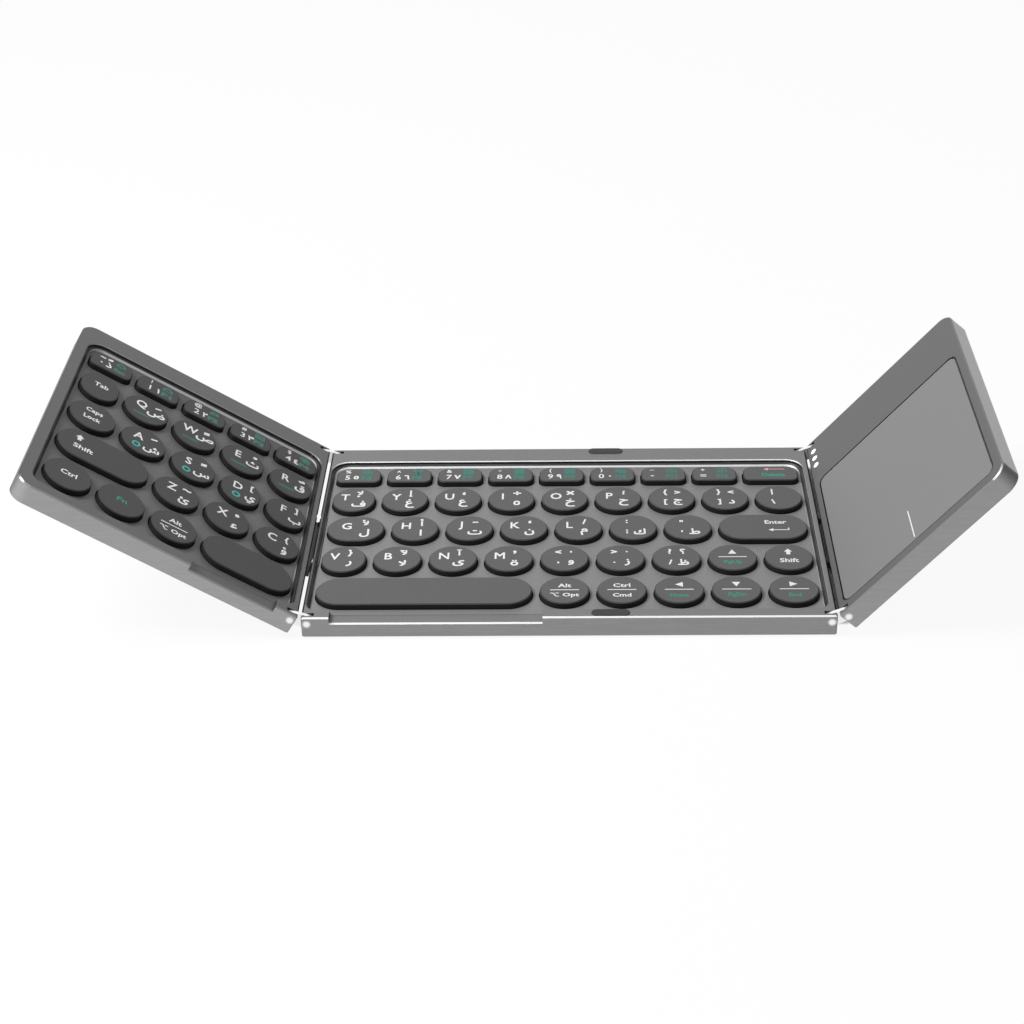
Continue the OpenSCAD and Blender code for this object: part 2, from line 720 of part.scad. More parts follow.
// Deck plate with a sloped border all round but at the notch, and a hole for each key
module key_deck(recess, keys, notch) {
    w = recess[1] - recess[0] - 2 * fit;
    d = recess_d - 2 * fit;
    edge = fit + border_flat;
    difference() {
        translate([(recess[0] + recess[1]) / 2, recess_y, deck_bottom])
            linear_extrude(deck_t + border_h) outline(w, d, [for (r = recess_r) r - fit]);
        translate([(recess[0] + recess[1]) / 2, recess_y, deck_top + border_h + 1])
            mirror([0, 0, 1]) slab(
                w - 2 * border_flat, d - 2 * border_flat, 1 + border_h,
                [for (r = recess_r) r - edge], border_h
            );
        translate([notch[0], recess_front_y - 1, deck_top])
            cube([notch[1], 1 + fit + border_flat + border_h, border_h + 1]);
        for (k = keys) translate([k[2], k[3], deck_bottom - 1]) linear_extrude(deck_t + 2)
            key_outline(k, key_clearance);
    }
}

// Step in a deck's edge that clears the bridge's bead
module bead_step_cut() {
    bead_space = bead_r + bead_clearance;
    translate([-1, bridge_y - bridge_l / 2 - 2 * fit, 0])
        cube([1 + pin_inset + bead_space, bridge_l + 4 * fit, pin_z + bead_space + fit]);
}

module switch_sheet(recess) {
    w = recess[1] - recess[0] - 2 * (deck_ledge + fit);
    translate([(recess[0] + recess[1]) / 2, recess_y, cover_t]) linear_extrude(sheet_t)
        outline(w, recess_d - 2 * (deck_ledge + fit), [for (r = recess_r) r - deck_ledge - fit]);
}

module key_domes(keys) {
    for (k = keys) translate([k[2], k[3], sheet_top]) difference() {
        cylinder(r1 = dome_foot_r, r2 = dome_head_r, h = dome_h);
        translate([0, 0, -eps])
            cylinder(r1 = dome_foot_r - dome_t, r2 = dome_head_r - dome_t, h = dome_h - dome_t);
    }
}

// Outline of a key, grown by g: a number key has its own corners, the others have round ends
module key_outline(k, g) {
    if (k[0] == 0) outline(k[4] + 2 * g, k[5] + 2 * g, [for (r = number_key_r) r + g]);
    else pill_outline(k[4], k[5], min(k[4], k[5]) / 2, g);
}

// Hollow key with a plunger over its dome and tabs that stop it under the deck
module key(k) {
    w = k[4];
    d = k[5];
    h = key_top - key_bottom;
    translate([k[2], k[3], key_bottom]) {
        difference() {
            if (k[0] == 0) slab(w, d, h, number_key_r, key_chamfer);
            else pill(w, d, h, min(w, d) / 2, key_chamfer);
            translate([0, 0, -eps]) linear_extrude(h - key_top_t + eps)
                key_outline(k, -key_skirt_t);
        }
        translate([0, 0, sheet_top + dome_h + fit - key_bottom])
            cylinder(r = plunger_r, h = key_top - key_top_t / 2 - sheet_top - dome_h - fit);
        for (x = k[6] == 2 ? [-w / 3, w / 3] : [0], s = [-1, 1])
            translate([x - tab_w / 2, s * (d - key_skirt_t + tab_reach) / 2, tab_t / 2])
                translate([0, -(tab_reach + key_skirt_t) / 2, -tab_t / 2])
                    cube([tab_w, tab_reach + key_skirt_t, tab_t]);
    }
}

module keys(keys, row, first, last) {
    color(key_grey) for (k = keys_in(keys, row, first, last)) key(k);
}

// ---- Middle panel ----

middle_r = [for (i = [0:3]) hinge_corner_r];
middle_tongues = [for (i = [1, 3, 5]) i * middle_w / 6];

module middle_frame() {
    color(metal) at_middle() difference() {
        key_frame(
            middle_w, middle_r, middle_recess, [middle_notch_start, middle_notch_l],
            [corner_block, middle_w - corner_block], middle_screws, middle_tongues
        );
        at_middle_edges() hinge_edge_cuts();
        bumper_places() translate([0, 0, -bumper_pocket]) linear_extrude(1 + bumper_pocket)
            pill_outline(bumper_l, bumper_w, bumper_w / 2, tight_fit);
    }
}

module middle_key_deck() {
    color(deck_grey) at_middle() difference() {
        key_deck(middle_recess, middle_keys, [middle_notch_start, middle_notch_l]);
        at_middle_edges() {
            bead_step_cut();
            bridge_seat_cut();
        }
    }
}

module middle_bottom_cover() {
    color(dark_metal) at_middle() bottom_cover(
        middle_w, [for (r = middle_r) 0.3], middle_foot_places, middle_screws, middle_tongues
    );
}

module middle_feet() {
    color(rubber) at_middle() feet(middle_foot_places);
}

// The pads lie where the free edges of the two folded wings meet
module bumper_places() {
    seam_x = (left_w + middle_w - right_w) / 2;
    for (s = [-1, 1])
        translate([seam_x, s * (panel_d / 2 - bumper_edge - bumper_w / 2), panel_h]) children();
}

module middle_fold_bumpers() {
    color(rubber) at_middle() bumper_places() translate([0, 0, -bumper_pocket])
        pill(bumper_l, bumper_w, bumper_pocket + bumper_proud, bumper_w / 2, bumper_proud / 2);
}

module middle_hinge_pins() {
    color(steel) at_middle() at_middle_edges() hinge_pins();
}

module middle_switch_sheet() {
    color(foil) at_middle() switch_sheet(middle_recess);
}

module middle_key_domes() {
    color(rubber) at_middle() key_domes(middle_keys);
}

module middle_cover_screws() {
    color(steel) at_middle() cover_screws(middle_screws);
}

// ---- Links and cable bridges ----

module link_plates() {
    at_hinge_ends() translate([0, -link_y, 0]) along_y(link_t) difference() {
        union() {
            circle(link_r);
            translate([link_l, 0]) circle(link_r);
            translate([0, -link_r]) square([link_l, 2 * link_r]);
        }
        circle(pin_r + pin_clearance);
        translate([link_l, 0]) circle(pin_r + pin_clearance);
    }
}

module cable_bridge() {
    low = -pin_z + fit;
    first = -bridge_top;
    difference() {
        union() {
            translate([first, bridge_y - bridge_l / 2, low])
                cube([link_l - 2 * first, bridge_l, bridge_top - low]);
            bridge_arms();
            translate([link_l, 0, 0]) mirror([1, 0, 0]) bridge_arms();
        }
        translate([0, bridge_y - cable_w / 2, bridge_top - cable_t])
            cube([link_l, cable_w, 1]);
    }
}

// Bead on one pin axis and the two arms that carry the bridge from it
module bridge_arms() {
    reach = sqrt(2) * (pin_inset + bridge_clearance) + arm_t / 2;
    translate([0, bridge_y, 0]) along_y(bridge_l) circle(bead_r);
    for (s = [-1, 1])
        translate([0, bridge_y + s * (bridge_l - arm_w) / 2, 0]) along_y(arm_w)
            rotate(-45) translate([0, -arm_t / 2]) square([reach, arm_t]);
}

module flat_cable() {
    first = -bridge_top;
    translate([first, bridge_y - cable_w / 2 + fit, bridge_top - cable_t])
        cube([link_l - 2 * first, cable_w - 2 * fit, cable_t]);
}

module left_link_plates() {
    color(steel) at_left_link() link_plates();
}

module left_cable_bridge() {
    color(metal) at_left_link() cable_bridge();
}

module left_flat_cable() {
    color(amber) at_left_link() flat_cable();
}

module right_link_plates() {
    color(steel) at_right_link() link_plates();
}

module right_cable_bridge() {
    color(metal) at_right_link() cable_bridge();
}

module right_flat_cable() {
    color(amber) at_right_link() flat_cable();
}

// ---- Left wing ----

left_r = [hinge_corner_r, wing_corner_r, wing_corner_r, hinge_corner_r];
left_tongues = [for (i = [1, 3]) i * left_w / 4];

module left_frame() {
    color(metal) at_left_wing() difference() {
        key_frame(
            left_w, left_r, left_recess, [left_notch_start, left_notch_l],
            [corner_block, left_w - wing_corner_r], left_screws, left_tongues
        );
        hinge_edge_cuts();
    }
}

module left_key_deck() {
    color(deck_grey) at_left_wing() difference() {
        key_deck(left_recess, left_keys, [left_notch_start, left_notch_l]);
        bead_step_cut();
        bridge_seat_cut();
    }
}

module left_bottom_cover() {
    color(dark_metal) at_left_wing() bottom_cover(
        left_w, [0.3, wing_corner_r - wall, wing_corner_r - wall, 0.3],
        left_foot_places, left_screws, left_tongues
    );
}

module left_feet() {
    color(rubber) at_left_wing() feet(left_foot_places);
}

module left_hinge_pins() {
    color(steel) at_left_wing() hinge_pins();
}

module left_switch_sheet() {
    color(foil) at_left_wing() switch_sheet(left_recess);
}

module left_key_domes() {
    color(rubber) at_left_wing() key_domes(left_keys);
}

module left_cover_screws() {
    color(steel) at_left_wing() cover_screws(left_screws);
}

// ---- Right wing ----

pad_w = right_w - pad_inset - pad_outer;
pad_d = panel_d - pad_front - pad_back;
pad_x = pad_inset + pad_w / 2;
pad_y = -panel_d / 2 + pad_front + pad_d / 2;
bay_front_y = pad_y + pad_d / 2 + bay_gap;
pin_block_d = link_cheek + link_slot + pin_seat + 4 * fit;
pad_top = panel_h - pad_below_bezel;
pad_bottom = pad_top - pad_t;
sensor_bottom = pad_bottom - sensor_t;
top_bottom = panel_h - right_top_t;
pad_radii = [for (i = [0:3]) pad_r];
pad_side_w = 6 * pad_gap;
pad_side_x = (pad_w + pad_gap) / 2;
light_places = [for (i = [0:2]) [light_inset, panel_d / 2 - light_back - i * light_pitch]];
board_z = cover_t + 3 * fit;
port_z = board_z + board_t;

module right_frame() {
    inner_r = [0.3, wing_corner_r - wall, wing_corner_r - wall, 0.3];
    color(metal) at_right_wing() difference() {
        translate([right_w / 2, 0, 0])
            slab(right_w, panel_d, panel_h, [
                hinge_corner_r, wing_corner_r, wing_corner_r, hinge_corner_r,
            ], edge_chamfer);
        difference() {
            translate([right_w / 2, 0, -1]) linear_extrude(top_bottom + 1)
                outline(right_w - 2 * wall, panel_d - 2 * wall, inner_r);
            right_inner_posts();
        }
        translate([pad_x, pad_y, 0]) linear_extrude(panel_h + 1)
            outline(pad_w + 2 * pad_gap, pad_d + 2 * pad_gap, [for (r = pad_radii) r + pad_gap]);
        for (p = light_places)
            translate([p[0], p[1], 0]) cylinder(r = light_r + tight_fit, h = panel_h + 1);
        port_cut();
        screw_holes(right_screws);
        hinge_edge_cuts();
    }
}

// Corners that carry the pins, the rib under the bridge's bead and the screw bosses
module right_inner_posts() {
    front = -panel_d / 2;
    translate([0, front, cover_t]) cube([corner_block, pin_block_d, panel_h]);
    translate([0, -front - pin_block_d, cover_t]) cube([corner_block, pin_block_d, panel_h]);
    translate([0, bridge_y - bridge_l / 2 - 1, cover_t])
        cube([pin_inset + bead_r + bead_clearance, bridge_l + 2, pin_z - cover_t]);
    for (i = [0:3])
        translate([right_screws[i][0], right_screws[i][1], cover_t])
            cylinder(r = boss_r, h = i < 2 ? panel_h : sensor_bottom - pad_travel - fit - cover_t);
}

module port_cut() {
    translate([port_inset, panel_d / 2 - wall * 1.5, port_z + port_h / 2]) rotate([-90, 0, 0])
        linear_extrude(2 * wall) pill_outline(port_w, port_h, port_h / 2, fit);
}

module right_bottom_cover() {
    color(dark_metal) at_right_wing() bottom_cover(
        right_w, [0.3, wing_corner_r - wall, wing_corner_r - wall, 0.3],
        right_foot_places, right_screws, []
    );
}

module right_feet() {
    color(rubber) at_right_wing() feet(right_foot_places);
}

module right_hinge_pins() {
    color(steel) at_right_wing() hinge_pins();
}

module right_cover_screws() {
    color(steel) at_right_wing() cover_screws(right_screws);
}

module touchpad_plate() {
    color(pad_grey) at_right_wing() translate([pad_x, pad_y, pad_bottom])
        slab(pad_w, pad_d, pad_t, pad_radii, 0.15);
}

// Sensor board, with tongues under the bezel that hold the pad and act as its hinge
module touchpad_sensor_board() {
    color(board_green) at_right_wing() translate([pad_x, pad_y, sensor_bottom]) {
        linear_extrude(sensor_t) outline(pad_w - 2 * pad_gap, pad_d - 2 * pad_gap, pad_radii);
        for (s = [-1, 1]) {
            translate([s * pad_w / 3 - pad_tongue_w / 2, pad_d / 2 - 1, 0])
                cube([pad_tongue_w, 1 + pad_gap + pad_tongue_l, sensor_t - fit]);
            translate([s * pad_side_x - pad_side_w / 2, -pad_d / 3, 0])
                cube([pad_side_w, pad_side_d, sensor_t - fit]);
        }
    }
}

module touchpad_switch() {
    h = sensor_bottom - pad_travel - fit / 2 - cover_t;
    color(steel) at_right_wing()
        translate([pad_x, -panel_d / 2 + pad_front + switch_back, cover_t]) {
            translate([-switch_w / 2, -switch_w / 2, 0]) cube([switch_w, switch_w, h * 2 / 3]);
            cylinder(r = switch_button_r, h = h);
        }
}

module indicator_lights() {
    color(light_white) at_right_wing() for (p = light_places)
        translate([p[0], p[1], port_z]) cylinder(r = light_r, h = panel_h - port_z);
}

module battery() {
    x0 = back_screw_x + boss_r + battery_gap;
    w = right_w - battery_side - x0;
    color(foil) at_right_wing() translate([x0 + w / 2, bay_front_y + battery_d / 2, cover_t])
        pill(w, battery_d, battery_t, battery_edge_r, battery_edge_r / 2);
}

// Main board cut back round the corner block, with two chips on it
module main_board() {
    block_y = panel_d / 2 - pin_block_d - 3 * fit;
    back_y = panel_d / 2 - wall - 2 * fit;
    color(board_green) at_right_wing() translate([0, 0, board_z]) {
        linear_extrude(board_t) difference() {
            translate([board_x, bay_front_y]) square([board_w, back_y - bay_front_y]);
            translate([0, block_y]) square([corner_block + 3 * fit, panel_d]);
        }
        for (y = [chip_w / 2, chip_w * 2])
            translate([board_x + chip_w, bay_front_y + y, board_t - eps])
                cube([chip_w, chip_w, chip_t]);
    }
}

module charging_port() {
    color(steel) at_right_wing()
        translate([port_inset, panel_d / 2 - fit, port_z + port_h / 2]) rotate([90, 0, 0]) {
            difference() {
                linear_extrude(port_l) pill_outline(port_w, port_h, port_h / 2);
                translate([0, 0, -eps]) linear_extrude(port_l - 1)
                    pill_outline(port_w, port_h, port_h / 2, -port_wall);
            }
            translate([0, 0, (port_l + fit) / 2])
                cube([port_tongue_w, port_tongue_t, port_l - fit], center = true);
        }
}

// ---- Keys ----

module left_number_keys() at_left_wing() keys(left_keys, 0, 0, 3);
module esc_key() at_left_wing() keys(left_keys, 0, 4, 4);
module left_upper_letter_keys() at_left_wing() keys(left_keys, 1, 0, 3);
module tab_key() at_left_wing() keys(left_keys, 1, 4, 4);
module left_home_letter_keys() at_left_wing() keys(left_keys, 2, 0, 3);
module caps_lock_key() at_left_wing() keys(left_keys, 2, 4, 4);
module left_lower_letter_keys() at_left_wing() keys(left_keys, 3, 0, 2);
module left_shift_key() at_left_wing() keys(left_keys, 3, 3, 3);
module left_space_key() at_left_wing() keys(left_keys, 4, 0, 0);
module left_alt_key() at_left_wing() keys(left_keys, 4, 1, 1);
module fn_key() at_left_wing() keys(left_keys, 4, 2, 2);
module left_ctrl_key() at_left_wing() keys(left_keys, 4, 3, 3);
module middle_number_keys() at_middle() keys(middle_keys, 0, 0, 7);
module delete_key() at_middle() keys(middle_keys, 0, 8, 8);
module middle_upper_letter_keys() at_middle() keys(middle_keys, 1, 0, 8);
module middle_home_letter_keys() at_middle() keys(middle_keys, 2, 0, 6);
module enter_key() at_middle() keys(middle_keys, 2, 7, 7);
module middle_lower_letter_keys() at_middle() keys(middle_keys, 3, 0, 6);
module up_arrow_key() at_middle() keys(middle_keys, 3, 7, 7);
module right_shift_key() at_middle() keys(middle_keys, 3, 8, 8);
module middle_space_key() at_middle() keys(middle_keys, 4, 0, 0);
module middle_alt_key() at_middle() keys(middle_keys, 4, 1, 1);
module middle_ctrl_key() at_middle() keys(middle_keys, 4, 2, 2);
module arrow_row_keys() at_middle() keys(middle_keys, 4, 3, 5);

middle_frame();
middle_key_deck();
middle_bottom_cover();
middle_feet();
middle_fold_bumpers();
middle_hinge_pins();
middle_switch_sheet();
middle_key_domes();
middle_cover_screws();
left_link_plates();
left_cable_bridge();
left_flat_cable();
left_frame();
left_key_deck();
left_bottom_cover();
left_feet();
left_hinge_pins();
left_switch_sheet();
left_key_domes();
left_cover_screws();
right_link_plates();
right_cable_bridge();
right_flat_cable();
right_frame();
right_bottom_cover();
right_feet();
right_hinge_pins();
right_cover_screws();
touchpad_plate();
touchpad_sensor_board();
touchpad_switch();
indicator_lights();
battery();
main_board();
charging_port();
left_number_keys();
esc_key();
left_upper_letter_keys();
tab_key();
left_home_letter_keys();
caps_lock_key();
left_lower_letter_keys();
left_shift_key();
left_space_key();
left_alt_key();
fn_key();
left_ctrl_key();
middle_number_keys();
delete_key();
middle_upper_letter_keys();
middle_home_letter_keys();
enter_key();
middle_lower_letter_keys();
up_arrow_key();
right_shift_key();
middle_space_key();
middle_alt_key();
middle_ctrl_key();
arrow_row_keys();
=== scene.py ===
"""Looks of a folding keyboard with three panels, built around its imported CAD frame."""

import math

import bmesh
import bpy
import numpy as np
from mathutils import Matrix, Vector


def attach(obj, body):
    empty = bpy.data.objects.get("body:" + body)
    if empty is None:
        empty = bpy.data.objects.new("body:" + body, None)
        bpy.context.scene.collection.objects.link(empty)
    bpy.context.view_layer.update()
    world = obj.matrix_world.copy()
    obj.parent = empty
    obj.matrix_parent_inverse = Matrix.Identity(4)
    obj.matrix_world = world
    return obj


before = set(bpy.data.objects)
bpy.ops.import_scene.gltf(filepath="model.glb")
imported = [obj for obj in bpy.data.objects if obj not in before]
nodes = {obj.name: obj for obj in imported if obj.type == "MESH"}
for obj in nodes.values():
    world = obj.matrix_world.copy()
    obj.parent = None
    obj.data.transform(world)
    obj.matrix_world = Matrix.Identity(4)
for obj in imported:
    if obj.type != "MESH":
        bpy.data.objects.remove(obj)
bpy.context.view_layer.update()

MM = 0.001

# ---- Where the panels and keys stand ----

# Vertices that are nearer than this coincide, in mm
MERGED = 0.001
# Least upward part of the normal of a face that looks up
LOOKS_UP = 0.3
# Depth of the band below a key's highest point that counts as its top, in mm
TOP_BAND = 0.05


def mesh_arrays(node):
    """Vertices and triangle corners of a CAD node, with the vertices that coincide merged."""
    mesh = nodes[node].data
    points = np.empty(len(mesh.vertices) * 3)
    mesh.vertices.foreach_get("co", points)
    points = points.reshape(-1, 3)
    mesh.calc_loop_triangles()
    corners = np.empty(len(mesh.loop_triangles) * 3, np.int64)
    mesh.loop_triangles.foreach_get("vertices", corners)
    _, first, merged = np.unique(
        np.round(points / (MERGED * MM)), axis=0, return_index=True, return_inverse=True
    )
    return points[first], merged.ravel()[corners.reshape(-1, 3)]


def panel_axes(node):
    """U, V and N of a panel: U runs along it towards +X, V is +Y, and N = U x V is up.

    N is the direction that most of a flat piece's area looks up in: the triangle normals
    are rounded, their areas are added for each direction, and the largest sum wins.
    """
    points, triangles = mesh_arrays(node)
    a, b, c = (points[triangles[:, i]] for i in range(3))
    normals = np.cross(b - a, c - a)
    areas = np.linalg.norm(normals, axis=1)
    normals = normals[areas > 0] / areas[areas > 0, None]
    areas = areas[areas > 0]
    upward = normals[:, 2] > LOOKS_UP
    directions, index = np.unique(
        np.round(normals[upward], 4), axis=0, return_inverse=True
    )
    area = np.bincount(index.ravel(), areas[upward])
    n = directions[area.argmax()]
    n = n / np.linalg.norm(n)
    return np.array([[n[2], 0.0, -n[0]], [0.0, 1.0, 0.0], n])


PANELS = {
    "left": panel_axes("left_key_deck"),
    "middle": panel_axes("middle_key_deck"),
    "right": panel_axes("touchpad_plate"),
}


def key_tops(node, panel):
    """Top centre of every key in a node, along U, V and N, in order of rising U.

    Each vertex starts with its own number and takes the lowest number among its
    triangles' corners until nothing changes, so that every key ends with one number.
    The key's top is the box of its vertices that lie highest along N.
    """
    points, triangles = mesh_arrays(node)
    label = np.arange(len(points))
    while True:
        lowest = label[triangles].min(axis=1)
        spread = label.copy()
        for i in range(3):
            np.minimum.at(spread, triangles[:, i], lowest)
        if (spread == label).all():
            break
        label = spread
    local = points @ PANELS[panel].T
    tops = []
    for one in np.unique(label):
        key = local[label == one]
        top = key[key[:, 2] > key[:, 2].max() - TOP_BAND * MM]
        lo, hi = top.min(axis=0), top.max(axis=0)
        tops.append(np.array([*(lo + hi)[:2] / 2, hi[2]]))
    return sorted(tops, key=lambda top: top[0])


# ---- Shader groups ----

FLOAT, VECTOR = "NodeSocketFloat", "NodeSocketVector"
TO_FRONT = (0, -1, 0)


def linear(grey):
    """Linear value of a grey level from 0 to 255 of the sRGB scale."""
    s = grey / 255
    return s / 12.92 if s <= 0.04045 else ((s + 0.055) / 1.055) ** 2.4


def rgba(r, g=None, b=None):
    """Linear colour of sRGB levels from 0 to 255, grey if only one is given."""
    g = r if g is None else g
    b = r if b is None else b
    return (linear(r), linear(g), linear(b), 1.0)


def make_group(name, inputs, outputs):
    """Empty node group with named sockets, given as (name, type, default value)."""
    group = bpy.data.node_groups.new(name, "ShaderNodeTree")
    for label, kind, default in inputs:
        socket = group.interface.new_socket(label, in_out="INPUT", socket_type=kind)
        socket.default_value = default
    for label, kind in outputs:
        group.interface.new_socket(label, in_out="OUTPUT", socket_type=kind)
    return group, group.nodes.new("NodeGroupInput"), group.nodes.new("NodeGroupOutput")


def add(tree, kind, links=(), **settings):
    """New node with its settings, and its inputs linked or set by name or number."""
    node = tree.nodes.new(kind)
    for key, value in settings.items():
        setattr(node, key, value)
    for socket, value in dict(links).items():
        if isinstance(value, bpy.types.NodeSocket):
            tree.links.new(value, node.inputs[socket])
        else:
            node.inputs[socket].default_value = value
    return node


def math_node(tree, operation, a, b=0.0, c=0.0):
    """Output of a Math node with up to three values."""
    return add(tree, "ShaderNodeMath", {0: a, 1: b, 2: c}, operation=operation).outputs[0]


def dot(tree, a, b):
    """Output of the dot product of two vectors."""
    return add(
        tree, "ShaderNodeVectorMath", {0: a, 1: b}, operation="DOT_PRODUCT"
    ).outputs["Value"]


def rise(tree, value, start, end):
    """Output that goes from 0 to 1 while a value goes from start to end."""
    return add(
        tree, "ShaderNodeMapRange", {"Value": value, "From Min": start, "From Max": end}
    ).outputs[0]


def place_of(tree):
    """Output of the point's place in Object coordinates."""
    return add(tree, "ShaderNodeTexCoord").outputs["Object"]


def normal_of(tree):
    """Output of the direction that the face looks in, in Object coordinates."""
    return add(tree, "ShaderNodeTexCoord").outputs["Normal"]


def make_grain_group():
    """Fine grain in Object coordinates: stretched noise as a tone around 1 and as a bump."""
    group, given, out = make_group(
        "fine_grain",
        [("Scale", FLOAT, 1000.0), ("Stretch", VECTOR, (1, 1, 1)), ("Contrast", FLOAT, 0.1),
         ("Depth", FLOAT, 0.00002)],
        [("Tone", FLOAT), ("Normal", VECTOR)],
    )
    stretched = add(
        group, "ShaderNodeVectorMath", {0: place_of(group), 1: given.outputs["Stretch"]},
        operation="MULTIPLY",
    )
    noise = add(
        group, "ShaderNodeTexNoise",
        {"Vector": stretched.outputs[0], "Scale": given.outputs["Scale"], "Detail": 3.0,
         "Roughness": 0.6},
    )
    centred = math_node(group, "SUBTRACT", noise.outputs["Fac"], 0.5)
    tone = math_node(group, "MULTIPLY_ADD", centred, given.outputs["Contrast"], 1.0)
    bump = add(
        group, "ShaderNodeBump",
        {"Height": noise.outputs["Fac"], "Distance": given.outputs["Depth"], "Strength": 1.0},
    )
    group.links.new(tone, out.inputs["Tone"])
    group.links.new(bump.outputs["Normal"], out.inputs["Normal"])
    return group


def make_handling_group():
    """Faint wide patches where hands have polished or dulled a surface, around 1."""
    group, given, out = make_group(
        "handling_marks",
        [("Scale", FLOAT, 40.0), ("Amount", FLOAT, 0.05)],
        [("Tone", FLOAT)],
    )
    noise = add(
        group, "ShaderNodeTexNoise",
        {"Vector": place_of(group), "Scale": given.outputs["Scale"], "Detail": 4.0},
    )
    centred = math_node(group, "SUBTRACT", noise.outputs["Fac"], 0.5)
    tone = math_node(group, "MULTIPLY_ADD", centred, given.outputs["Amount"], 1.0)
    group.links.new(tone, out.inputs["Tone"])
    return group


# Where a sloped face starts to count as one to the front, and where it wholly is one
FRONT_LEAN = (0.1, 0.6)


def make_facing_group():
    """Masks by the direction that a face looks in, for a panel whose own up is Up.

    With c the cosine between the face and Up, Top is 1 where c > High, Bevel is 1 where
    Low < c <= High, as on an edge cut at 45 degrees, and Side is 1 where |c| < Low.
    Front goes from 0 to 1 as the cosine between the face and the front goes through
    FRONT_LEAN.
    """
    group, given, out = make_group(
        "face_direction",
        [("Up", VECTOR, (0, 0, 1)), ("Low", FLOAT, 0.5), ("High", FLOAT, 0.92)],
        [("Top", FLOAT), ("Bevel", FLOAT), ("Side", FLOAT), ("Front", FLOAT)],
    )
    cosine = dot(group, normal_of(group), given.outputs["Up"])
    top = math_node(group, "GREATER_THAN", cosine, given.outputs["High"])
    sloped = math_node(group, "GREATER_THAN", cosine, given.outputs["Low"])
    bevel = math_node(group, "SUBTRACT", sloped, top)
    steep = math_node(group, "ABSOLUTE", cosine)
    side = math_node(group, "LESS_THAN", steep, given.outputs["Low"])
    front = rise(group, dot(group, normal_of(group), TO_FRONT), *FRONT_LEAN)
    group.links.new(top, out.inputs["Top"])
    group.links.new(bevel, out.inputs["Bevel"])
    group.links.new(side, out.inputs["Side"])
    group.links.new(front, out.inputs["Front"])
    return group


# Limits in metres beyond which a wall is an outer one: |y| at the front and the back, and
# the distance from the origin along a wing, which leaves out the walls at its hinge
HALF_DEPTH, WING_REACH = 48.7 * MM, 75 * MM
# Least cosine between a wall and the way outwards for it to be an outer one
LOOKS_OUT = 0.3


def make_outer_wall_group():
    """Mask of a panel's outer walls, which leaves out its recess, slots and hinge edge.

    It is 1 on the front and back faces, where |y| > Half Depth, and where the face looks
    along Outwards, beyond the Inner Edge; a panel with hinges at both sides has an
    Outwards of zero length.
    """
    group, given, out = make_group(
        "outer_walls",
        [("Outwards", VECTOR, (1, 0, 0)), ("Half Depth", FLOAT, HALF_DEPTH),
         ("Inner Edge", FLOAT, WING_REACH)],
        [("Mask", FLOAT)],
    )
    place = place_of(group)
    apart = add(group, "ShaderNodeSeparateXYZ", {0: place})
    across = math_node(group, "ABSOLUTE", apart.outputs["Y"])
    ends = math_node(group, "GREATER_THAN", across, given.outputs["Half Depth"])
    looking = dot(group, normal_of(group), given.outputs["Outwards"])
    outer = math_node(group, "GREATER_THAN", looking, LOOKS_OUT)
    reach = dot(group, place, given.outputs["Outwards"])
    beyond = math_node(group, "GREATER_THAN", reach, given.outputs["Inner Edge"])
    outer = math_node(group, "MULTIPLY", outer, beyond)
    group.links.new(math_node(group, "MAXIMUM", ends, outer), out.inputs["Mask"])
    return group


# The lean to the front through which a corner's painted tone begins, and the least lean
# outwards
CORNER_START, CORNER_OUT = (0.02, 0.12), 0.05


def make_corner_group():
    """Masks of the rounded front corner of a panel, which has a painted reflection, and of
    its outer wall.

    With o the cosine between the face and Outwards, and f the one between the face and
    the front, Corner is 1 - f^3 where o > CORNER_OUT, times a rise from 0 to 1 as f goes
    through CORNER_START. So it is 0 on the flat walls and at the corner to the back.
    Outer is o^4, which is 1 on the outer wall and fades along the corners.
    """
    group, given, out = make_group(
        "front_corner", [("Outwards", VECTOR, (1, 0, 0))],
        [("Corner", FLOAT), ("Outer", FLOAT)],
    )
    lean = dot(group, normal_of(group), TO_FRONT)
    looking = dot(group, normal_of(group), given.outputs["Outwards"])
    begun = rise(group, lean, *CORNER_START)
    faded = math_node(group, "SUBTRACT", 1.0, math_node(group, "POWER", lean, 3.0))
    near = math_node(group, "GREATER_THAN", looking, CORNER_OUT)
    both = math_node(group, "MULTIPLY", begun, faded)
    outer = math_node(group, "POWER", math_node(group, "MAXIMUM", looking, 0.0), 4.0)
    group.links.new(math_node(group, "MULTIPLY", both, near), out.inputs["Corner"])
    group.links.new(outer, out.inputs["Outer"])
    return group


GRAIN = make_grain_group()
HANDLING = make_handling_group()
FACING = make_facing_group()
OUTER_WALLS = make_outer_wall_group()
CORNER = make_corner_group()

# ---- Materials ----

# Width of the strip of painted shade at a hinge edge, in metres
HINGE_STRIP = 0.9 * MM
# Each panel's own direction along its width
ALONG = {panel: axes[0] for panel, axes in PANELS.items()}


def use_group(tree, group, **values):
    """A group node with its values set or linked, with _ in a name for a space."""
    return add(
        tree, "ShaderNodeGroup", {k.replace("_", " "): v for k, v in values.items()},
        node_tree=group,
    )


def mix_colour(tree, factor, a, b):
    """Output that goes from colour a to colour b with the factor."""
    return add(
        tree, "ShaderNodeMix", {0: factor, 6: a, 7: b}, data_type="RGBA"
    ).outputs[2]


def mix_value(tree, factor, a, b):
    """Output that goes from number a to number b with the factor."""
    return add(tree, "ShaderNodeMix", {0: factor, 2: a, 3: b}, data_type="FLOAT").outputs[0]


def shade(tree, colour, *tones):
    """Colour made lighter or darker by each tone, where 1 leaves it as it is."""
    if isinstance(colour, tuple):
        colour = colour[:3]
    for tone in tones:
        colour = add(
            tree, "ShaderNodeVectorMath", {0: colour, "Scale": tone}, operation="SCALE"
        ).outputs[0]
    return colour


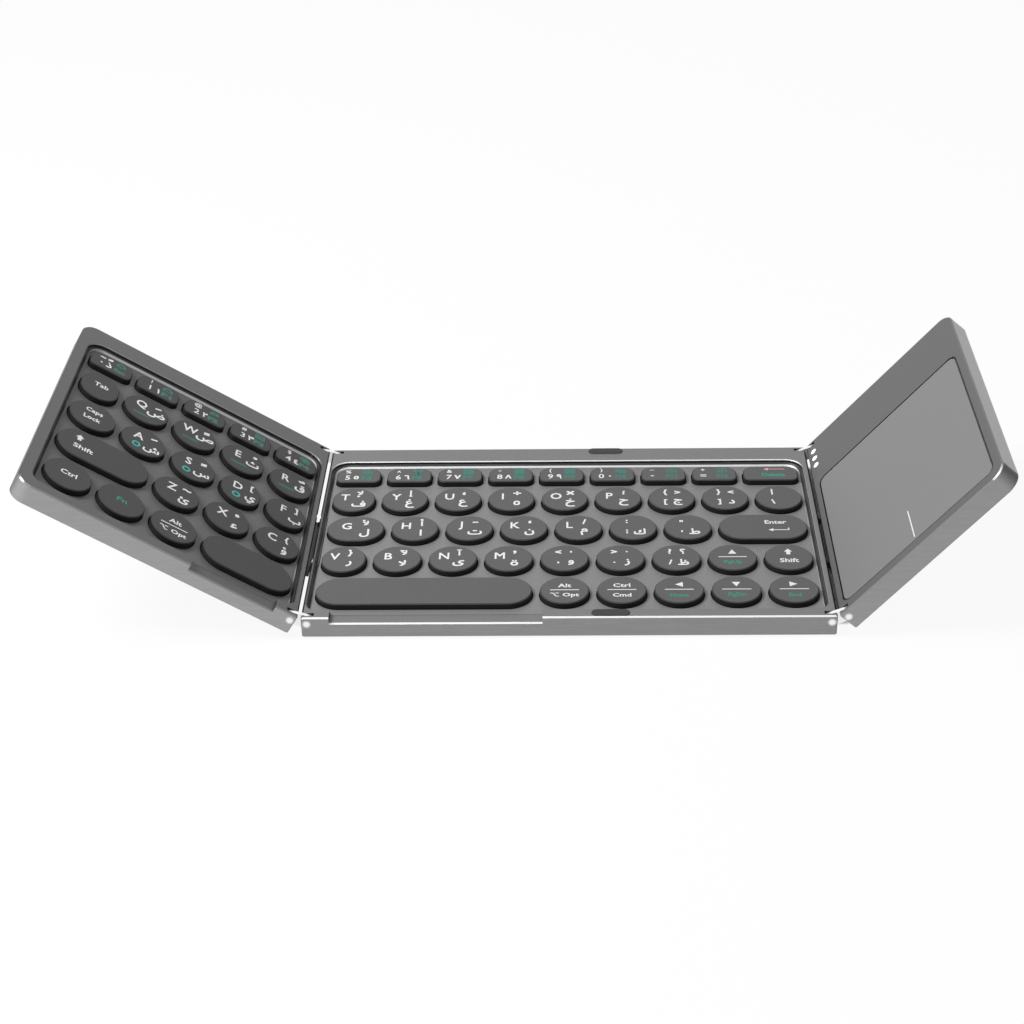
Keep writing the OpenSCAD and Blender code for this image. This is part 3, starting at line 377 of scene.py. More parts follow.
def start_material(name, **values):
    """New material with its Principled BSDF set by socket name, with _ for a space."""
    material = bpy.data.materials.new(name)
    material.use_nodes = True
    tree = material.node_tree
    surface = tree.nodes["Principled BSDF"]
    for key, value in values.items():
        surface.inputs[key.replace("_", " ")].default_value = value
    return material, tree, surface


def finish_of(
    name, colour, roughness, metallic=0.0, scale=1500.0, contrast=0.15, depth=0.00001,
    stretch=(1, 1, 1), marks=0.06, **values
):
    """Finish of one colour with its grain and handling marks."""
    material, tree, surface = start_material(name, Metallic=metallic, **values)
    grain = use_group(
        tree, GRAIN, Scale=scale, Stretch=stretch, Contrast=contrast, Depth=depth
    )
    handling = use_group(tree, HANDLING, Amount=marks)
    toned = shade(tree, colour, grain.outputs["Tone"], handling.outputs["Tone"])
    tree.links.new(toned, surface.inputs["Base Color"])
    rough = math_node(tree, "MULTIPLY", handling.outputs["Tone"], roughness)
    tree.links.new(rough, surface.inputs["Roughness"])
    tree.links.new(grain.outputs["Normal"], surface.inputs["Normal"])
    return material


def near_hinge(tree, panel):
    """Output that is 1 within HINGE_STRIP of a panel's hinge edge, by Object coordinates,
    where the cut edge has a painted shade.
    """
    along = ALONG[panel] if panel == "left" else -ALONG[panel]
    reach = mesh_arrays(f"{panel}_frame")[0] @ along
    at = dot(tree, place_of(tree), tuple(along))
    if panel == "middle":
        at = math_node(tree, "ABSOLUTE", at)
    return math_node(tree, "GREATER_THAN", at, float(reach.max()) - HINGE_STRIP)


def pocket_shadow_line(tree, panel, pocket):
    """Output that is 1 in a thin line outside the outer and front edges of a pocket, where a
    painted shadow goes.

    The pocket is a rounded rectangle, given in mm on the panel as its middle (u, v), its
    half sizes, its corner's radius r and the line's width. With q = |P - middle| -
    (half size - r), the distance from its edge is |max(q, 0)| - r.
    """
    middle, half, radius, width = pocket
    place = place_of(tree)
    apart, far = [], []
    for axis, way, at, size in zip(PANELS[panel][:2], (1, -1), middle, half):
        reach = math_node(tree, "SUBTRACT", dot(tree, place, tuple(axis)), at * MM)
        q = math_node(
            tree, "SUBTRACT", math_node(tree, "ABSOLUTE", reach), (size - radius) * MM
        )
        apart.append(math_node(tree, "MAXIMUM", q, 0.0))
        far.append(math_node(
            tree, "GREATER_THAN", math_node(tree, "MULTIPLY", reach, way),
            (size - radius) * MM,
        ))
    squares = [math_node(tree, "POWER", q, 2.0) for q in apart]
    distance = math_node(tree, "SQRT", math_node(tree, "ADD", *squares))
    close = math_node(tree, "LESS_THAN", distance, (radius + width) * MM)
    return math_node(tree, "MULTIPLY", close, math_node(tree, "MAXIMUM", *far))


# Painted shade of the walls inside a frame, a painted shadow line along the touchpad's
# pocket, and painted shade on an edge at a hinge gap
INNER_WALL_SHADE, POCKET_SHADOW_TONE, GAP_EDGE_SHADE = rgba(40), rgba(22), rgba(34)
FRAME_ROUGHNESS, FRAME_METALLIC = 0.42, 0.35


def shaded_frame_metal(
    panel, face, walls, edge, shines, gloss, corner, outwards=(0, 0, 0), pocket=None
):
    """Anodised aluminium of a panel frame, with light and shade painted into its colours.

    The face is satin, the outer walls are brushed along the panel and lighter, and the
    walls inside the recess and the slots have a painted shade. Walls are the colours of the
    front and of the outer wall, and the corner between them has the corner's tone, a painted
    reflection, which fades to the front. A cut edge has the edge's colour. It is polished
    where it leans to the front, with the gloss as (metallic, roughness), and painted with
    one of the two shines as a highlight, the second a brighter one at the corner; where it
    faces the hinge gap it has a painted shade. A painted shadow line runs along the pocket.
    Outwards is a wing's direction away from its hinge.
    """
    up = tuple(PANELS[panel][2])
    material, tree, surface = start_material(f"shaded_frame_metal_{panel}")
    facing = use_group(tree, FACING, Up=up)
    outer = use_group(tree, OUTER_WALLS, Outwards=outwards)
    satin = use_group(tree, GRAIN, Scale=2600.0, Contrast=0.16, Depth=0.000003)
    brushed = use_group(
        tree, GRAIN, Scale=2200.0, Stretch=(0.05, 0.6, 1), Contrast=0.3, Depth=0.000004
    )
    handling = use_group(tree, HANDLING, Amount=0.06)
    side = facing.outputs["Side"]
    # Bevel faces that lean to the front: polished through the gloss, and given a painted
    # highlight colour
    polished = math_node(
        tree, "MULTIPLY", facing.outputs["Bevel"], facing.outputs["Front"]
    )
    turned = use_group(tree, CORNER, Outwards=outwards)
    wall = mix_colour(tree, turned.outputs["Outer"], *walls)
    # Painted reflection at the rounded front corner: darker on the right wing, lighter on the
    # left
    wall_tone = mix_value(tree, turned.outputs["Corner"], 1.0, corner)
    # Walls inside the recess and the slots take a painted shade, outer walls their wall
    # colours
    inside = mix_colour(
        tree, outer.outputs["Mask"], INNER_WALL_SHADE, shade(tree, wall, wall_tone)
    )
    glint = mix_colour(tree, turned.outputs["Corner"], *shines)
    # Painted shadow line along the outer and front edges of the touchpad's pocket
    if pocket:
        face = mix_colour(tree, pocket_shadow_line(tree, panel, pocket), face, POCKET_SHADOW_TONE)
    # Painted shade on the cut edge next to the hinge gap
    cut = mix_colour(tree, near_hinge(tree, panel), edge, GAP_EDGE_SHADE)
    colour = mix_colour(tree, side, face, inside)
    colour = mix_colour(tree, facing.outputs["Bevel"], colour, cut)
    # Painted highlight on the front-leaning bevel, brighter at the corner
    colour = mix_colour(tree, polished, colour, glint)
    grain = mix_value(tree, side, satin.outputs["Tone"], brushed.outputs["Tone"])
    toned = shade(tree, colour, grain, handling.outputs["Tone"])
    tree.links.new(toned, surface.inputs["Base Color"])
    rough = math_node(tree, "MULTIPLY", handling.outputs["Tone"], FRAME_ROUGHNESS)
    metallic, polish = gloss
    tree.links.new(mix_value(tree, polished, rough, polish), surface.inputs["Roughness"])
    tree.links.new(
        mix_value(tree, polished, FRAME_METALLIC, metallic), surface.inputs["Metallic"]
    )
    tree.links.new(satin.outputs["Normal"], surface.inputs["Normal"])
    return material


# Least cosine between N and the normal of a face that counts as flat
FLAT = 0.99


def face_level(node, panel):
    """Height along N of a piece's widest face that looks along N, and of its top.

    The heights of the faces are rounded to 0.01 mm, and their areas are added by height.
    """
    points, triangles = mesh_arrays(node)
    local = points @ PANELS[panel].T
    a, b, c = (local[triangles[:, i]] for i in range(3))
    area = np.cross(b - a, c - a)
    flat = area[:, 2] > FLAT * np.linalg.norm(area, axis=1)
    levels, index = np.unique(np.round(a[flat, 2], 5), return_inverse=True)
    widest = np.bincount(index.ravel(), area[flat, 2]).argmax()
    return float(levels[widest]), float(local[:, 2].max())


# Painted shade on a key deck's walls, the share of its border's height with a painted
# highlight at the sides, and the share of that height through which that highlight turns
# to painted shade
DECK_WALL_SHADE, SIDE_SHARE, BORDER_BLEND = rgba(60), 0.12, 1 / 6
DECK_ROUGHNESS, DECK_METALLIC = 0.5, 0.25


def shaded_deck_metal(panel, face, dark, side, shine, share):
    """Blasted aluminium of a key deck, with a sloped border and painted light and shade.

    The border has painted shade above and a painted highlight below. Its light part is
    narrow at the sides, with the side's colour, and where it leans to the front it has the
    shine's colour and that share of the border's height. The deck's walls have a painted
    shade.
    """
    up = tuple(PANELS[panel][2])
    low, high = face_level(f"{panel}_key_deck", panel)
    material, tree, surface = start_material(
        f"shaded_deck_metal_{panel}", Metallic=DECK_METALLIC
    )
    facing = use_group(tree, FACING, Up=up)
    blasted = use_group(tree, GRAIN, Scale=1500.0, Contrast=0.5, Depth=0.000012)
    handling = use_group(tree, HANDLING, Amount=0.06)
    height = rise(tree, dot(tree, place_of(tree), up), low, high)
    front = facing.outputs["Front"]
    # Painted shade on the border's upper part and a painted highlight on its lower part
    above = math_node(tree, "SUBTRACT", height, mix_value(tree, front, SIDE_SHARE, share))
    shadowed = rise(tree, above, 0.0, BORDER_BLEND)
    light = mix_colour(tree, front, side, shine)
    border_shading = mix_colour(tree, shadowed, light, dark)
    # Painted shade on the deck's walls
    colour = mix_colour(tree, facing.outputs["Side"], face, DECK_WALL_SHADE)
    toned = shade(tree, colour, blasted.outputs["Tone"], handling.outputs["Tone"])
    tree.links.new(
        mix_colour(tree, facing.outputs["Bevel"], toned, border_shading), surface.inputs["Base Color"]
    )
    rough = math_node(tree, "MULTIPLY", handling.outputs["Tone"], DECK_ROUGHNESS)
    tree.links.new(rough, surface.inputs["Roughness"])
    tree.links.new(blasted.outputs["Normal"], surface.inputs["Normal"])
    return material


# Share of the top's colour in a key's bevel, a tone between the painted light top and the
# painted shade skirt
KEY_BEVEL_SHARE = 0.4
KEY_ROUGHNESS = 0.62


def shaded_key_plastic(panel, top, skirt):
    """Matt key plastic: a top lighter by painted light, a bevel between top and skirt, and a
    skirt darker by painted shade.
    """
    up = tuple(PANELS[panel][2])
    material, tree, surface = start_material(
        f"shaded_key_plastic_{panel}", Specular_IOR_Level=0.15
    )
    facing = use_group(tree, FACING, Up=up, Low=0.35, High=0.95)
    grain = use_group(tree, GRAIN, Scale=2600.0, Contrast=0.3, Depth=0.000012)
    handling = use_group(tree, HANDLING, Scale=120.0, Amount=0.1)
    bevel = tuple((1 - KEY_BEVEL_SHARE) * a + KEY_BEVEL_SHARE * b for a, b in zip(skirt, top))
    # Painted shade on the skirt, a mid tone on the bevel, painted light on the top
    colour = mix_colour(tree, facing.outputs["Bevel"], skirt, bevel)
    colour = mix_colour(tree, facing.outputs["Top"], colour, top)
    toned = shade(tree, colour, grain.outputs["Tone"], handling.outputs["Tone"])
    tree.links.new(toned, surface.inputs["Base Color"])
    rough = math_node(tree, "MULTIPLY", handling.outputs["Tone"], KEY_ROUGHNESS)
    tree.links.new(rough, surface.inputs["Roughness"])
    tree.links.new(grain.outputs["Normal"], surface.inputs["Normal"])
    return material


pad_points = mesh_arrays("touchpad_plate")[0] @ PANELS["right"].T
pad_lo, pad_hi = pad_points.min(axis=0), pad_points.max(axis=0)
# Gap round the touchpad, radius of its pocket's corners and width of the shade, in mm
PAD_GAP, POCKET_R, POCKET_SHADE = 0.3, 3.0, 0.3
POCKET = (
    tuple((pad_lo + pad_hi)[:2] / 2 / MM), tuple((pad_hi - pad_lo)[:2] / 2 / MM + PAD_GAP),
    POCKET_R, POCKET_SHADE,
)
# One anodised metal; each panel's colours differ as painted light and shade for how the light
# falls on it
FRAME_FINISH_AND_SHADE = {
    "left": shaded_frame_metal(
        "left", face=rgba(94), walls=(rgba(163), rgba(62)), edge=rgba(56),
        shines=(rgba(124), rgba(150)), gloss=(1.0, 0.3), corner=1.1,
        outwards=tuple(-ALONG["left"]),
    ),
    "middle": shaded_frame_metal(
        "middle", face=rgba(120), walls=(rgba(145), rgba(145)), edge=rgba(132),
        shines=(rgba(246), rgba(246)), gloss=(0.15, 0.5), corner=1.0,
    ),
    "right": shaded_frame_metal(
        "right", face=rgba(93), walls=(rgba(158), rgba(170)), edge=rgba(112),
        shines=(rgba(140), rgba(255)), gloss=(1.0, 0.22), corner=0.1,
        outwards=tuple(ALONG["right"]), pocket=POCKET,
    ),
}
# The two decks' colours differ as painted light and shade for how the light falls on each
# panel
DECK_FINISH_AND_SHADE = {
    "left": shaded_deck_metal(
        "left", face=rgba(99), dark=rgba(24), side=rgba(150), shine=rgba(165), share=0.55
    ),
    "middle": shaded_deck_metal(
        "middle", face=rgba(131), dark=rgba(42), side=rgba(170), shine=rgba(220), share=0.44
    ),
}
# The left keys are darker than the middle ones as painted shade for the left wing's tilt from
# the light
KEY_FINISH_AND_SHADE = {
    "left": shaded_key_plastic("left", top=rgba(80), skirt=rgba(32)),
    "middle": shaded_key_plastic("middle", top=rgba(98), skirt=rgba(36)),
}
RUBBER = finish_of("rubber_black", rgba(48), 0.75, scale=1200.0, contrast=0.3)
STEEL = finish_of(
    "bright_steel", rgba(246), 0.3, 0.8, contrast=0.08, depth=0.000003, stretch=(1, 0.1, 1)
)
PORT = finish_of("port_steel", rgba(205), 0.3, 1.0)
BOARD = finish_of("board_green", rgba(30, 90, 60), 0.4)
SHARED_FINISH = {
    "bottom_cover": finish_of(
        "cover_metal", rgba(118), 0.45, 0.5, 900.0, 0.12, stretch=(0.1, 1, 1)
    ),
    "feet": RUBBER,
    "fold_bumpers": RUBBER,
    "link_plates": STEEL,
    "switch_sheet": finish_of("switch_film", rgba(60), 0.5, 0.2),
    "key_domes": finish_of("silicone_domes", rgba(120), 0.5, contrast=0.05),
    "cover_screws": finish_of("blackened_steel", rgba(60), 0.4, 1.0, 2000.0, 0.2),
    "flat_cable": finish_of("cable_film", rgba(128, 127, 124), 0.4, 0.2, 2000.0, 0.1),
}
OWN_FINISH = {
    "touchpad_plate": finish_of(
        "pad_face", rgba(124), 0.42, 0.15, 2400.0, 0.05, 0.000002, marks=0.03
    ),
    "touchpad_sensor_board": BOARD,
    "main_board": BOARD,
    "battery": finish_of("battery_foil", rgba(190), 0.35, 0.8, 500.0, 0.1),
    "touchpad_switch": PORT,
    "charging_port": PORT,
    "indicator_lights": finish_of(
        "light_lens", rgba(250), 0.3, contrast=0.02, marks=0.01,
        Emission_Color=(1, 1, 1, 1), Emission_Strength=0.5,
    ),
    "left_cable_bridge": FRAME_FINISH_AND_SHADE["middle"],
    "right_cable_bridge": FRAME_FINISH_AND_SHADE["middle"],
}


# Share of a pin end's radius that is bright, and the tone of the painted shade on the rim
# round it
PIN_CENTRE, PIN_RIM_SHADE = 0.66, 0.62


def shaded_pin_steel(node):
    """Bright steel of the hinge pins in a node, whose flat ends have a darker rim: painted
    shade in place of the reflection of a rounded edge.

    The pins run along Y, and a node's pins share one height and one distance from x = 0.
    """
    material = STEEL.copy()
    material.name = f"shaded_pin_steel_{node}"
    tree = material.node_tree
    surface = tree.nodes["Principled BSDF"]
    points = mesh_arrays(node)[0]
    points[:, 0] = np.abs(points[:, 0])
    lo, hi = points.min(axis=0), points.max(axis=0)
    apart = add(tree, "ShaderNodeSeparateXYZ", {0: place_of(tree)})
    flat = add(tree, "ShaderNodeCombineXYZ", {
        "X": math_node(tree, "ABSOLUTE", apart.outputs["X"]), "Z": apart.outputs["Z"],
    })
    axis = (float(lo[0] + hi[0]) / 2, 0.0, float(lo[2] + hi[2]) / 2)
    distance = add(
        tree, "ShaderNodeVectorMath", {0: flat.outputs[0], 1: axis}, operation="DISTANCE"
    ).outputs["Value"]
    # Painted shade on the rim of each pin end
    rim = math_node(tree, "GREATER_THAN", distance, float(hi[2] - lo[2]) / 2 * PIN_CENTRE)
    base = surface.inputs["Base Color"]
    toned = base.links[0].from_socket
    tree.links.new(shade(tree, toned, mix_value(tree, rim, 1.0, PIN_RIM_SHADE)), base)
    return material


LEFT_KEYS = (
    "esc_key", "left_number_keys", "tab_key", "left_upper_letter_keys", "caps_lock_key",
    "left_home_letter_keys", "left_shift_key", "left_lower_letter_keys", "left_ctrl_key",
    "fn_key", "left_alt_key", "left_space_key",
)


def finish_for(node):
    """Material of a CAD node: its own, its panel's, or the one its kind of piece shares."""
    if node in OWN_FINISH:
        return OWN_FINISH[node]
    panel, _, part = node.partition("_")
    if part == "frame":
        return FRAME_FINISH_AND_SHADE[panel]
    if part == "key_deck":
        return DECK_FINISH_AND_SHADE[panel]
    if part == "hinge_pins":
        return shaded_pin_steel(node)
    if part in SHARED_FINISH:
        return SHARED_FINISH[part]
    return KEY_FINISH_AND_SHADE["left" if node in LEFT_KEYS else "middle"]


for name, node in nodes.items():
    finish = finish_for(name)
    for slot in node.material_slots:
        slot.material = finish

# ---- Key legends ----

# Height of the print above a key, and how far it is sunk into it, in mm
PRINT_RISE, PRINT_SINK = 0.012, 0.02
# Share of a font's size that a capital is tall
CAPITAL = 0.72
# Growth of a stroke that is too thin to show, but lets crossing strokes be filled
HAIR = 0.01
# Signs that a font draws small, and how much they are enlarged
ENLARGED = {
    "÷": 1.3, "×": 1.4, "‘": 1.7, "’": 1.7, "،": 1.5, "ـ": 1.3, "~": 1.3, "أ": 1.1,
    "َ": 2.2, "ً": 2.0, "ُ": 1.8, "ٌ": 1.8, "ِ": 2.2,
    "ٍ": 2.0, "ْ": 1.8, "ّ": 1.6, "ء": 1.2, "Λ": 0.8,
}
WHITE, TEAL, MUTED_TEAL, CYAN, DARK_TEAL, PINK = (
    "white", "teal", "muted_teal", "cyan", "dark_teal", "pink"
)


def print_finish(name, colour, contrast=0.06):
    """Finish of the print of one colour."""
    return finish_of(f"{name}_print", colour, 0.5, scale=3000.0, contrast=contrast)


PRINT_FINISH = {
    WHITE: print_finish(WHITE, rgba(238)),
    TEAL: print_finish(TEAL, rgba(34, 136, 118)),
    MUTED_TEAL: print_finish(MUTED_TEAL, rgba(44, 112, 101), 0.3),
    CYAN: print_finish(CYAN, rgba(52, 178, 172)),
    DARK_TEAL: print_finish(DARK_TEAL, rgba(38, 92, 80), 0.3),
    PINK: print_finish(PINK, rgba(222, 170, 176)),
}


def prism(outline):
    """Thin prism on a closed outline of (u, v) points in mm: points and faces.

    The outline stands at the sunk and the raised height, the two ends are one face each,
    and a wall joins each pair of neighbouring points.
    """
    flat = np.asarray(outline, float)
    n = len(flat)
    points = np.vstack([
        np.column_stack([flat, np.full(n, -PRINT_SINK)]),
        np.column_stack([flat, np.full(n, PRINT_RISE)]),
    ])
    i = np.arange(n)
    k = (i + 1) % n
    walls = np.stack([i, k, k + n, i + n], axis=-1)
    ends = [i[::-1].tolist(), (i + n).tolist()]
    return points, [tuple(face) for face in ends + walls.tolist()]


def bar(w, h):
    """Rectangle of width w and height h, centred."""
    return prism([(-w / 2, -h / 2), (w / 2, -h / 2), (w / 2, h / 2), (-w / 2, h / 2)])


def triangle(w, h, turn):
    """Triangle of width w and height h that points up, turned anticlockwise by degrees."""
    a = math.radians(turn)
    corners = np.array([(-w / 2, -h / 2), (w / 2, -h / 2), (0, h / 2)])
    turned = np.array([[math.cos(a), math.sin(a)], [-math.sin(a), math.cos(a)]])
    return prism(corners @ turned)


def block_arrow(w, h):
    """Upward arrow of width w and height h, with a stem of half width s."""
    s = 0.24 * w
    return prism([
        (-s, -h / 2), (s, -h / 2), (s, 0), (w / 2, 0), (0, h / 2), (-w / 2, 0), (-s, 0),
    ])


def left_arrow(length, tail=0.0):
    """Thin arrow that points left, with an upturned tail of that height at its end.

    Its stroke is t wide, and its head is 2 h tall and 1.7 h long.
    """
    t, h = 0.34, 0.85
    x0, x1 = -length / 2, length / 2
    neck = x0 + 1.7 * h
    return prism([
        (x0, 0), (neck, -h), (neck, -t / 2), (x1, -t / 2), (x1, tail + t / 2),
        (x1 - t, tail + t / 2), (x1 - t, t / 2), (neck, t / 2), (neck, h),
    ])


def ring(r, t, n=24):
    """Flat ring of outer radius r and width t, in n steps.

    Point (i, j) is (radius_j cos a_i, radius_j sin a_i, height_j), where the four j go
    round the ring's square section, and both indexes close on themselves.
    """
    a = np.arange(n) * 2 * math.pi / n
    radius = np.array([r, r, r - t, r - t])
    height = np.array([-PRINT_SINK, PRINT_RISE, PRINT_RISE, -PRINT_SINK])
    points = np.stack([
        np.outer(np.cos(a), radius), np.outer(np.sin(a), radius),
        np.broadcast_to(height, (n, 4)),
    ], axis=-1).reshape(-1, 3)
    i, j = np.meshgrid(np.arange(n), np.arange(4), indexing="ij")
    k, m = (i + 1) % n, (j + 1) % 4
    faces = np.stack([i * 4 + j, k * 4 + j, k * 4 + m, i * 4 + m], axis=-1).reshape(-1, 4)
    return points, [tuple(f) for f in faces.tolist()]


def lettering(text, cap, width=None, weight=0.05, stretch=1.0):
    """Raised text in mm, centred on its own box: cap is its capital's height.

    The strokes grow by the weight at each side. The text is stretched along u by a
    factor, or to the width where one is given. A sign that a font draws small is
    enlarged. Points that coincide are merged, and faces that shrink to a line go.
    """
    cap *= ENLARGED.get(text, 1.0)
    curve = bpy.data.curves.new("lettering", "FONT")
    curve.body = text
    curve.size = cap / CAPITAL
    curve.extrude = (PRINT_RISE + PRINT_SINK) / 2
    curve.offset = weight
    curve.resolution_u = 2
    obj = bpy.data.objects.new("lettering", curve)
    bpy.context.scene.collection.objects.link(obj)
    mesh = bpy.data.meshes.new_from_object(
        obj.evaluated_get(bpy.context.evaluated_depsgraph_get())
    )
    points = np.empty(len(mesh.vertices) * 3)
    mesh.vertices.foreach_get("co", points)
    points = points.reshape(-1, 3)
    _, first, merged = np.unique(
        np.round(points, 4), axis=0, return_index=True, return_inverse=True
    )
    merged = merged.ravel()
    faces = [tuple(dict.fromkeys(merged[list(p.vertices)].tolist())) for p in mesh.polygons]
    points = points[first]
    lo, hi = points.min(axis=0), points.max(axis=0)
    points -= (lo + hi) / 2
    points[:, 2] += (PRINT_RISE - PRINT_SINK) / 2
    points[:, 0] *= width / (hi[0] - lo[0]) if width else stretch
    bpy.data.objects.remove(obj)
    bpy.data.curves.remove(curve)
    bpy.data.meshes.remove(mesh)
    return points, [f for f in faces if len(f) > 2]


def bold(shape, shift=0.1):
    """The shape four times over, shifted by up to that much each way, at four heights."""
    points, faces = shape
    shifts = [(-1, -1, 0), (1, -1, 0.02), (-1, 1, 0.04), (1, 1, 0.06)]
    return (
        np.vstack([points + np.array(way) * shift for way in shifts]),
        [
            tuple(i + k * len(points) for i in face)
            for k in range(len(shifts)) for face in faces
        ],
    )


def mark(shape, u, v, colour=WHITE):
    """A shape with its centre's place on the key in mm, and its colour."""
    return shape, u, v, colour


def thin(text, cap):
    """Text with thin strokes, made a little bolder."""
    return bold(lettering(text, cap, weight=HAIR))


def letters(latin, top, bottom, spots):
    """Marks of a letter key: Latin letter, and the letters at its right side."""
    (lu, lv, cap), (tu, tv, top_cap), (bu, bv, low_cap) = spots
    return [
        mark(bold(lettering(latin, cap, weight=0, stretch=0.92), shift=0.07), lu, lv),
        mark(thin(top, top_cap), tu, tv),
        mark(thin(bottom, low_cap), bu, bv),
    ]


# Places of a letter key's three marks as (u, v, capital height), by row
MIDDLE_SPOTS = ((-2.7, 1.4, 3.6), (1.75, 3.3, 2.7), (1.7, -2.6, 3.3))
LEFT_SPOTS = ((-2.0, 1.8, 3.6), (3.3, 3.5, 2.6), (3.1, -0.4, 3.3))
HOME_SPOTS = ((-2.0, 1.8, 3.6), (2.8, 3.3, 2.6), (2.8, -2.7, 3.2))
LOWER_SPOTS = ((-2.0, 1.8, 3.6), (2.6, 3.1, 2.6), (2.4, -2.9, 3.2))


def shifted(spots, latin=0.0, right=0.0):
    """The spots with the Latin letter and the marks at its right moved along u."""
    (lu, lv, cap), *others = spots
    return ((lu + latin, lv, cap), *((u + right, v, c) for u, v, c in others))


def sign_key(upper_left, lower_left, upper_right, lower_right):
    """Marks of a punctuation key: a pair of signs at each side."""
    marks = []
    for text, u, v, cap in (
        (upper_left, -1.9, 3.3, 2.5), (lower_left, -1.9, -2.6, 2.5),
        (upper_right, 1.9, 3.3, 2.5), (lower_right, 1.9, -2.6, 3.1),
    ):
        if text:
            marks.append(mark(thin(text, cap), u, v))
    return marks


# Places of a number key's columns along u: sign and figure, other figure, and function
LEFT_COLUMNS, MIDDLE_COLUMNS = (-2.8, 0.0, 2.8), (-3.5, -0.8, 2.6)
# Heights of a number key's marks above its middle: sign, both figures, and the function's
# sign, whose name stands as far below
SIGN_V, FIGURE_V, FUNCTION_V = 2.2, -1.4, 1.8


def number(symbol, digit, other, icon, function, columns):
    """Marks of a number key: its two figures at the left and its function at the right."""
    white_u, other_u, teal_u = columns
    marks = [
        mark(lettering(symbol, 1.9), white_u, SIGN_V),
        mark(lettering(digit, 2.7), white_u, FIGURE_V),
        mark(bold(lettering(icon, 2.1, 3.2, 0.08)), teal_u, FUNCTION_V, MUTED_TEAL),
        mark(bold(lettering(function, 2.1, 3.3, 0.08)), teal_u, -FUNCTION_V, MUTED_TEAL),
    ]
    if other:
        marks.append(mark(thin(other, 2.5), other_u, FIGURE_V))
    return marks


def word(text, cap, width, u=0.0, v=0.0, colour=WHITE):
    """Mark of one word stretched to a width."""
    return mark(lettering(text, cap, width, 0.06), u, v, colour)


def rule(v):
    """Mark of the line across a key that has two functions."""
    return mark(bar(8.4, 0.35), 0, v)


def arrow_key(turn, text, width, up=0.0):
    """Marks of an arrow key: triangle, line and its second function."""
    return [
        mark(triangle(2.5, 2.3, turn), 0, 2.6 + up), rule(up / 2),
        word(text, 1.8, width, 0, -3.0 + up / 2, TEAL),
    ]


def halves(first, first_w, second, second_w):
    """Marks of a key with one word above its line and one below."""
    return [word(first, 1.9, first_w, 0, 2.3), rule(0), word(second, 1.8, second_w, 0, -2.8)]


SMALL_RING = ring(1.35, 0.55)
